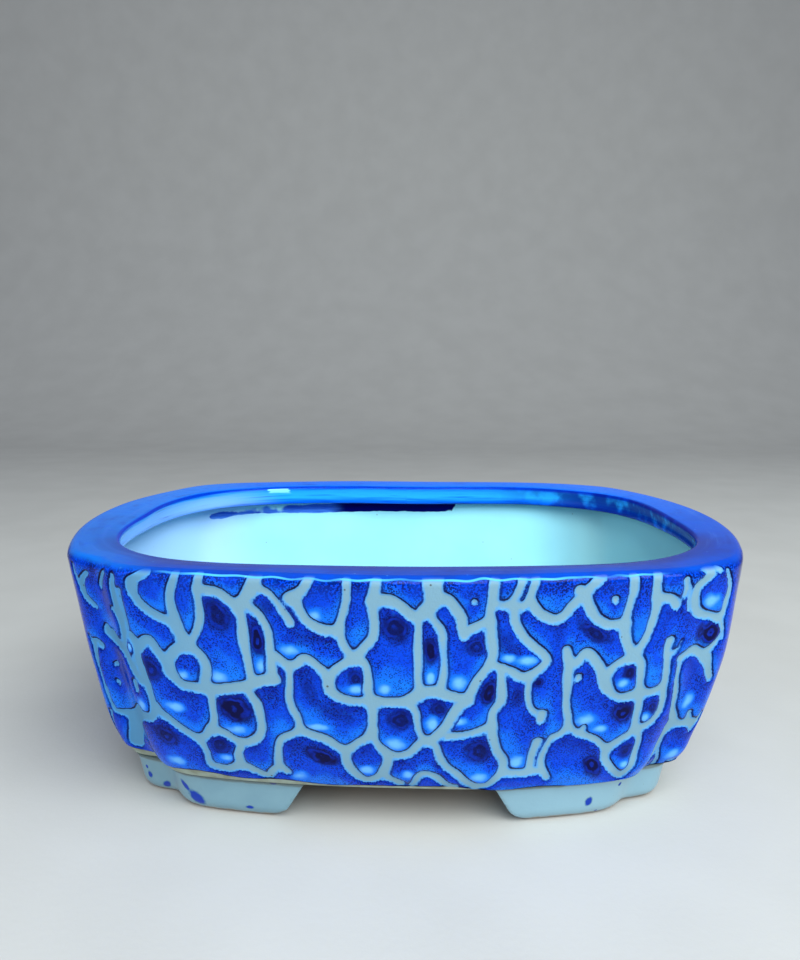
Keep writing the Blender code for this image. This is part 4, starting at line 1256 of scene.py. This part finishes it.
def body_material():
    s = Shader("patterned_glaze")
    line = s.attribute("line")
    below = s.attribute("below")
    rim = s.attribute("rim")
    white = s.attribute("white")
    bare = s.attribute("bare")

    upper_side = s.step(below, 0.2, -0.7)
    lower_side = s.step(below, -0.1, 0.8)
    ragged = s.times(s.noise(0.0008, 2), s.add(0.10, s.times(upper_side, 0.22)))
    gap = s.add(line, ragged, s.times(s.noise(0.0022, 2), 0.10))
    in_glaze = s.step(gap, -0.10, 0.10)

    # Islands: light below, deep at the head, with a navy stipple
    tone = s.add(s.attribute("island"), s.times(s.noise(0.0045, 3), 0.16))
    blue = s.mix(s.step(tone, 0.05, 0.5), BLUE_LIGHT, BLUE_MID)
    blue = s.over(blue, BLUE_DEEP, s.step(tone, 0.55, 1.05), 0.85)
    blue = s.over(blue, BLUE_LIGHT, s.cloud(0.0011, 3, 0.0, 1.1), 0.35)
    rim_near = s.step(s.axis("Z"), HEIGHT - 0.007, HEIGHT - 0.002)
    grain_share = s.add(0.30, s.times(tone, 0.16), s.times(rim_near, 0.16))
    grain = s.step(s.less(s.dots(0.0005), grain_share), 0.10, -0.04)
    blue = s.over(blue, NAVY, grain, s.add(0.3, s.times(s.cloud(0.006, 2, -0.7, 0.5), 0.55)))

    # Dark hearts with rings
    heart_gap = s.add(s.attribute("heart"), s.times(s.noise(0.0034, 3), 0.34))
    heart_in = s.times(s.step(heart_gap, 1.35, 0.62), s.attribute("dark"))
    ring = s.step(s.math("SINE", s.add(s.times(heart_gap, 10.5), 0.9)), -0.2, 1.0)
    heart = s.over(NAVY, HEART_RING, ring, s.cloud(0.003, 2, -0.8, 0.6), 0.8)
    blue = s.mix(s.math("MULTIPLY", heart_in, 1.05, clamp=True), blue, heart)

    # Pale pools with a soft head
    pool_gap = s.add(s.attribute("pool"), s.times(s.noise(0.0034, 2), 0.36))
    pool_in = s.times(s.step(pool_gap, 1.40, 0.75), s.step(gap, 0.22, 0.5))
    blue = s.mix(pool_in, blue, s.mix(s.step(pool_gap, 0.2, 1.0), POOL_TONE, BLUE_LIGHT))

    # The glaze's own edge: navy where it gathered, heavier on the islands' lower sides as painted shade;
    # pale on their upper sides as a painted highlight, where the glaze also thinned
    blue = s.over(blue, BLUE_DEEP, s.step(gap, 1.5, 0.3), s.rest(s.times(pool_in, 0.8)), 0.32)
    outline = s.band(gap, 0.25, 0.16, 0.19)
    blue = s.over(blue, NAVY, outline, s.add(0.5, s.times(lower_side, 0.5)))
    blue = s.over(blue, HALO_TONE, s.times(s.step(gap, 0.30, 0.0), upper_side), 0.8)

    # The pale ground in the lines
    ground = s.over(LINE_TONE, LINE_SHADE, s.cloud(0.0009, 3, -1.0, 1.0), 0.35)
    # Painted shade: darker and bluer towards the left end
    ground = s.over(ground, LINE_SHADED_LEFT, s.step(s.axis("X"), -0.036, -0.080), 0.9)
    ground = s.over(ground, LINE_SPECK, s.step(s.dots(0.0052), 0.075, 0.045), 0.8)
    ground = s.over(ground, HALO_TONE, s.step(gap, -0.62, -0.05), 0.75)
    wall = s.mix(in_glaze, ground, blue)

    # The rim's blue comes over the edge, and the glaze stops above the foot
    wall = s.mix(rim, wall, rim_colour(s))
    # Pale along the front rim's edge: glaze broken thin there, and a painted highlight
    middle = s.step(s.math("ABSOLUTE", s.axis("X")), 0.066, 0.056)
    broken_edge_and_highlight = s.times(s.band(rim, 0.5, 0.10, 0.2), s.cloud(0.018, 3, -0.7, 0.4))
    broken_edge_and_highlight = s.times(broken_edge_and_highlight, middle, s.step(s.axis("Y"), -0.055, -0.065))
    wall = s.over(wall, EDGE_PALE_AND_HIGHLIGHT, broken_edge_and_highlight, 0.9)
    foot_gap = s.add(s.attribute("edge"), s.times(s.noise(0.003, 2), 0.14))
    under_glaze = s.step(foot_gap, 0.05, -0.05)
    wall = s.over(wall, NAVY, s.band(foot_gap, 0.35, 0.25, 0.25), s.step(line, -0.5, 0.3))
    wall = s.mix(under_glaze, wall, s.mix(s.cloud(0.0035, 3, -0.8, 0.9), CREAM_TONE, CREAM_SHADE))

    # Inside and underneath
    stroke_gap = s.add(s.attribute("stroke"), s.times(s.noise(0.005, 2), 0.35))
    along = s.step(s.noise(0.0014, 3, s.stretched(0.12, 0.12, 1)), -0.6, 0.6)
    pale, mid, dark = STROKE_TONES
    stroke = s.mix(s.attribute("stroke_dark"), s.mix(along, pale, mid), dark)
    liner = s.mix(s.step(stroke_gap, 0.15, -0.15), white_colour(s), stroke)
    colour = s.mix(white, wall, liner)
    colour = s.mix(bare, colour, s.mix(s.cloud(0.0012, 4, -0.9, 0.9), CLAY_TONE, CLAY_SHADE))

    dry = s.times(s.rest(in_glaze), s.rest(rim))
    rough = s.add(0.09, s.times(dry, 0.42))
    rough = s.math("MAXIMUM", rough, s.times(under_glaze, 0.5))
    rough = s.math("MINIMUM", rough, s.add(s.rest(white), 0.14))
    rough = s.math("MAXIMUM", rough, s.times(bare, 0.75))
    pillow = s.times(s.step(gap, -0.15, 0.7), 0.22, s.rest(rim))
    peel = s.times(s.noise(0.0035, 2), 0.012)
    dust = s.times(s.noise(0.0005, 3), dry, 0.02)
    sides = s.step(s.math("ABSOLUTE", s.axis("X")), 0.060, 0.085)
    sheen = s.times(s.rest(s.times(sides, 0.55)), s.step(foot_gap, 0.2, 2.5), GLAZE_SPECULAR)
    return s.finish(colour, rough, s.add(pillow, peel, dust), sheen)


def rim_material():
    s = Shader("rim_glaze")
    lip = s.attribute("lip")
    x = s.axis("X")
    places = {"X": s.times(s.attribute("around"), 2.4), "Y": s.times(lip, 11.0)}
    streak = s.noise(1 / 1.3, 4.0, s.node("CombineXYZ", places).outputs["Vector"])
    level = s.add(lip, s.times(streak, 0.05))

    dark, pale = RIM_STREAKS
    flat = rim_colour(s)
    flat = s.over(flat, dark, s.step(s.add(streak, s.noise(0.009, 3)), 0.1, 1.5), 0.5)
    flat = s.over(flat, pale, s.step(streak, -0.1, -1.0), 0.45)
    front = s.step(s.axis("Y"), -0.02, -0.05)
    flat = s.over(flat, RIM_INNER, s.step(level, 0.03, 0.24), front, 0.55)

    face = s.mix(s.step(level, 0.40, 0.56), BLUE_MID, LIP_BRIGHT)
    face = s.mix(s.step(s.add(level, s.times(streak, 0.05)), 0.66, 0.86), face, LIP_MID)
    blotch = s.cloud(0.007, 3, 0.7, -0.2)
    face = s.over(face, LIP_RIGHT, s.step(x, 0.03, 0.075), blotch, 0.9)
    lower = s.step(s.add(level, s.times(streak, 0.08)), 0.44, 0.62)
    face = s.over(face, LIP_LEFT, s.step(x, -0.048, -0.078), lower, 0.8)
    face = s.over(face, BLUE_DEEP, s.step(streak, 0.15, 0.9), 0.7)
    grain = s.step(s.dots(0.0007), 0.34, 0.2)
    head = s.band(level, 0.36, 0.05, 0.08)
    face = s.over(face, BLUE_DEEP, head, s.add(0.35, s.times(grain, 0.4)))
    face = s.over(face, NAVY, s.step(level, 0.90, 0.97), 0.8)
    colour = s.mix(s.step(level, 0.26, 0.38), flat, face)

    # A painted highlight on the back lip: a pale patch where the light is reflected
    across = s.band(s.add(x, s.times(streak, 0.0015)), -0.052, 0.0035, 0.001)
    lip_glint = s.times(across, s.band(level, 0.50, 0.05, 0.03), s.step(s.axis("Y"), 0.0, 0.02))
    colour = s.mix(lip_glint, colour, LIP_GLINT)
    height = s.add(s.times(s.noise(0.004, 2), 0.014), s.times(streak, 0.02))
    return s.finish(colour, 0.10, height, RIM_SPECULAR)


def foot_material():
    s = Shader("white_glaze")
    z = s.axis("Z")
    colour = s.mix(s.cloud(0.009, 3, -1.0, 1.0), FOOT_TONE, FOOT_SHADE)
    # Painted light: lighter towards the right
    colour = s.over(colour, FOOT_LIT_RIGHT, s.step(s.axis("X"), -0.02, 0.05), 0.7)
    colour = s.over(colour, FOOT_SPECK, s.step(s.dots(0.0032), 0.06, 0.04), 0.5)
    splash = s.add(s.attribute("splash"), s.times(s.noise(0.0012, 2), 0.16))
    colour = s.over(colour, SPLASH_RING, s.step(splash, 1.35, 0.95), 0.7)
    colour = s.mix(s.step(splash, 1.0, 0.8), colour, SPLASH_TONE)
    wear = s.step(s.add(z, s.times(s.noise(0.003, 3), 0.0005)), 0.0016, 0.0004)
    colour = s.over(colour, SOLE_TONE, wear, 0.85)
    # A dark line at the top of the foot, where it meets the underside
    seam = s.add(z, s.times(s.noise(0.004, 2), 0.0003))
    seam = s.step(seam, UNDERSIDE_Z - 0.0011, UNDERSIDE_Z - 0.0001)
    colour = s.over(colour, FOOT_ROOT_LINE, seam, 0.75)
    height = s.add(s.times(s.noise(0.004, 3), 0.03), s.times(s.noise(0.0007, 2), 0.006))
    return s.finish(colour, s.add(0.22, s.times(wear, 0.45)), height, 0.25)


def plastic_material():
    s = Shader("black_plastic")
    dark, light, scuffed = PLASTIC_TONES
    scuff = s.step(s.noise(0.0012, 4, s.stretched(1, 6, 1)), 0.5, 1.0)
    colour = s.over(s.mix(s.cloud(0.004, 3, -1.0, 1.0), dark, light), scuffed, scuff, 0.35)
    return s.finish(colour, s.add(0.42, s.times(scuff, 0.2)), s.times(s.noise(0.0004, 2), 0.03))


def wire_material():
    s = Shader("coated_wire")
    colour = s.mix(s.cloud(0.005, 3, -1.0, 1.0), *WIRE_TONES)
    drawn = s.noise(0.0006, 2, s.stretched(0.2, 1, 1))
    s.surface.inputs["Metallic"].default_value = 0.75
    return s.finish(colour, s.add(0.34, s.times(drawn, 0.06)), s.times(drawn, 0.02))


# ---------------------------------------------------------------- drainage


def build_screen(name, made_of):
    """A moulded drain screen: flat ribs with rounded edges, the outer ribs as wide as the rest."""
    low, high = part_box(name)
    centre = (low + high) / 2
    pitch = 4.0 * MM
    rib = 1.4 * MM
    columns = round((high.x - low.x - rib) / pitch)
    rows = round((high.y - low.y - rib) / pitch)

    def edges(count):
        start = -(count * pitch + rib) / 2
        marks = [start]
        for _ in range(count):
            marks += [marks[-1] + rib, marks[-1] + pitch]
        return marks + [marks[-1] + rib]

    xs = edges(columns)
    ys = edges(rows)
    bm = bmesh.new()
    verts = [[bm.verts.new((x, y, 0.0)) for x in xs] for y in ys]
    for j in range(len(ys) - 1):
        for i in range(len(xs) - 1):
            if not (i % 2 and j % 2):
                bm.faces.new((verts[j][i], verts[j][i + 1], verts[j + 1][i + 1], verts[j + 1][i]))
    mesh = bpy.data.meshes.new(name + "_moulded")
    bm.to_mesh(mesh)
    bm.free()
    screen = bpy.data.objects.new(name + "_moulded", mesh)
    mesh.materials.append(made_of)
    bpy.context.scene.collection.objects.link(screen)
    thick = screen.modifiers.new("thickness", "SOLIDIFY")
    thick.thickness = high.z - low.z
    thick.offset = 0.0
    soft = screen.modifiers.new("edges", "BEVEL")
    soft.width = 0.00032
    soft.segments = 3
    soft.limit_method = "ANGLE"
    screen.location = centre
    made = applied(screen)
    made.shade_smooth()
    made.set_sharp_from_angle(angle=math.radians(40))
    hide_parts(name)
    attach(screen, "root")


def build_clip(name, made_of):
    """The bent wire that holds a screen: a loop on top, two legs down the hole, two tails below."""
    low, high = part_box(name)
    wire = 0.00075
    centre_x = (low.x + high.x) / 2
    top = high.z - wire
    under = low.z + wire
    tail = (high.x - low.x) / 2
    leg = 0.004
    bend = 0.0014
    loop_x = 0.011
    loop = 0.002

    def arc(cx, cy, cz, radius, start, turn, flat):
        made = []
        for i in range(9):
            angle = math.radians(start + turn * i / 8)
            a = radius * math.cos(angle)
            b = radius * math.sin(angle)
            made.append((cx + a, cy + b, cz) if flat else (cx + a, cy, cz + b))
        return made

    half = [(tail, 0.0, under)]
    half += arc(leg + bend, 0.0, under + bend, bend, 270, -90, False)
    half += arc(leg + bend, 0.0, top - bend, bend, 180, -90, False)
    half += arc(loop_x, -loop, top, loop, 90, -180, True)
    path = half + [(-x, y, z) for x, y, z in reversed(half)]
    curve = bpy.data.curves.new(name + "_wire", "CURVE")
    curve.dimensions = "3D"
    curve.bevel_depth = wire
    curve.bevel_resolution = 6
    curve.use_fill_caps = True
    spline = curve.splines.new("POLY")
    spline.points.add(len(path) - 1)
    for point, place in zip(spline.points, path):
        point.co = (*place, 1.0)
    spline.use_smooth = True
    clip = bpy.data.objects.new(name + "_wire", curve)
    curve.materials.append(made_of)
    bpy.context.scene.collection.objects.link(clip)
    clip.location = (centre_x, 0.0, 0.0)
    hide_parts(name)
    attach(clip, "root")


# ---------------------------------------------------------------- stage


def build_stage():
    """A plain pale floor that curves up into a backdrop."""
    s = Shader("floor_paint")
    colour = s.mix(s.step(s.noise(0.05, 2), -1, 1), (0.56, 0.55, 0.53, 1), (0.52, 0.51, 0.49, 1))
    paint = s.finish(colour, 0.75, s.times(s.noise(0.002, 2), 0.02))
    rows = [(-2.5, 0.0), (0.9, 0.0)]
    for i in range(1, 13):
        turn = math.pi / 2 * i / 12
        rows.append((0.9 + 0.6 * math.sin(turn), 0.6 * (1 - math.cos(turn))))
    rows.append((1.5, 2.5))
    points = [(x, y, z) for y, z in rows for x in (-9.0, 9.0)]
    faces = [(2 * i, 2 * i + 1, 2 * i + 3, 2 * i + 2) for i in range(len(rows) - 1)]
    floor = mesh_object("floor", points, faces, paint)


def area_light(name, place, target, size, power, colour):
    light = bpy.data.lights.new(name, "AREA")
    light.shape = "RECTANGLE"
    light.size = size[0]
    light.size_y = size[1]
    light.energy = power
    light.color = colour
    obj = bpy.data.objects.new(name, light)
    bpy.context.scene.collection.objects.link(obj)
    obj.location = place
    aim = Vector(target) - Vector(place)
    obj.rotation_euler = aim.to_track_quat("-Z", "Y").to_euler()


def build_light():
    world = bpy.data.worlds.new("studio")
    bpy.context.scene.world = world
    world.use_nodes = True
    background = world.node_tree.nodes["Background"]
    background.inputs["Color"].default_value = (0.80, 0.86, 1.0, 1)
    background.inputs["Strength"].default_value = 0.32
    area_light("key", (0.34, -0.60, 0.78), (0, 0.02, 0.05), (1.0, 0.8), 17, (0.92, 1.0, 1.0))
    area_light("fill", (-0.8, -0.7, 0.45), (0, 0, 0.04), (0.8, 0.8), 3, (0.85, 0.93, 1.0))


def build_camera():
    camera = bpy.data.cameras.new("camera")
    camera.sensor_width = 36
    camera.lens = 28.125
    camera.clip_start = 0.01
    obj = bpy.data.objects.new("camera", camera)
    bpy.context.scene.collection.objects.link(obj)
    obj.location = (-0.001666, -0.2489, 0.1237)
    level = Euler((math.radians(90 - 8.441), 0, 0)).to_matrix()
    roll = Euler((0, 0, math.radians(0.2345))).to_matrix()
    obj.rotation_euler = (level @ roll).to_euler()
    bpy.context.scene.camera = obj


def main():
    seam = build_body(body_material())
    build_rim(rim_material(), seam)
    white = foot_material()
    for name in FOOT_ENDS:
        build_foot(name, white)
    plastic = plastic_material()
    wire = wire_material()
    for side in ("left", "right"):
        build_screen("drain_screen_" + side, plastic)
        build_clip("screen_clip_" + side, wire)
    build_stage()
    build_light()
    build_camera()
    bpy.context.scene.view_settings.view_transform = "Standard"


main()
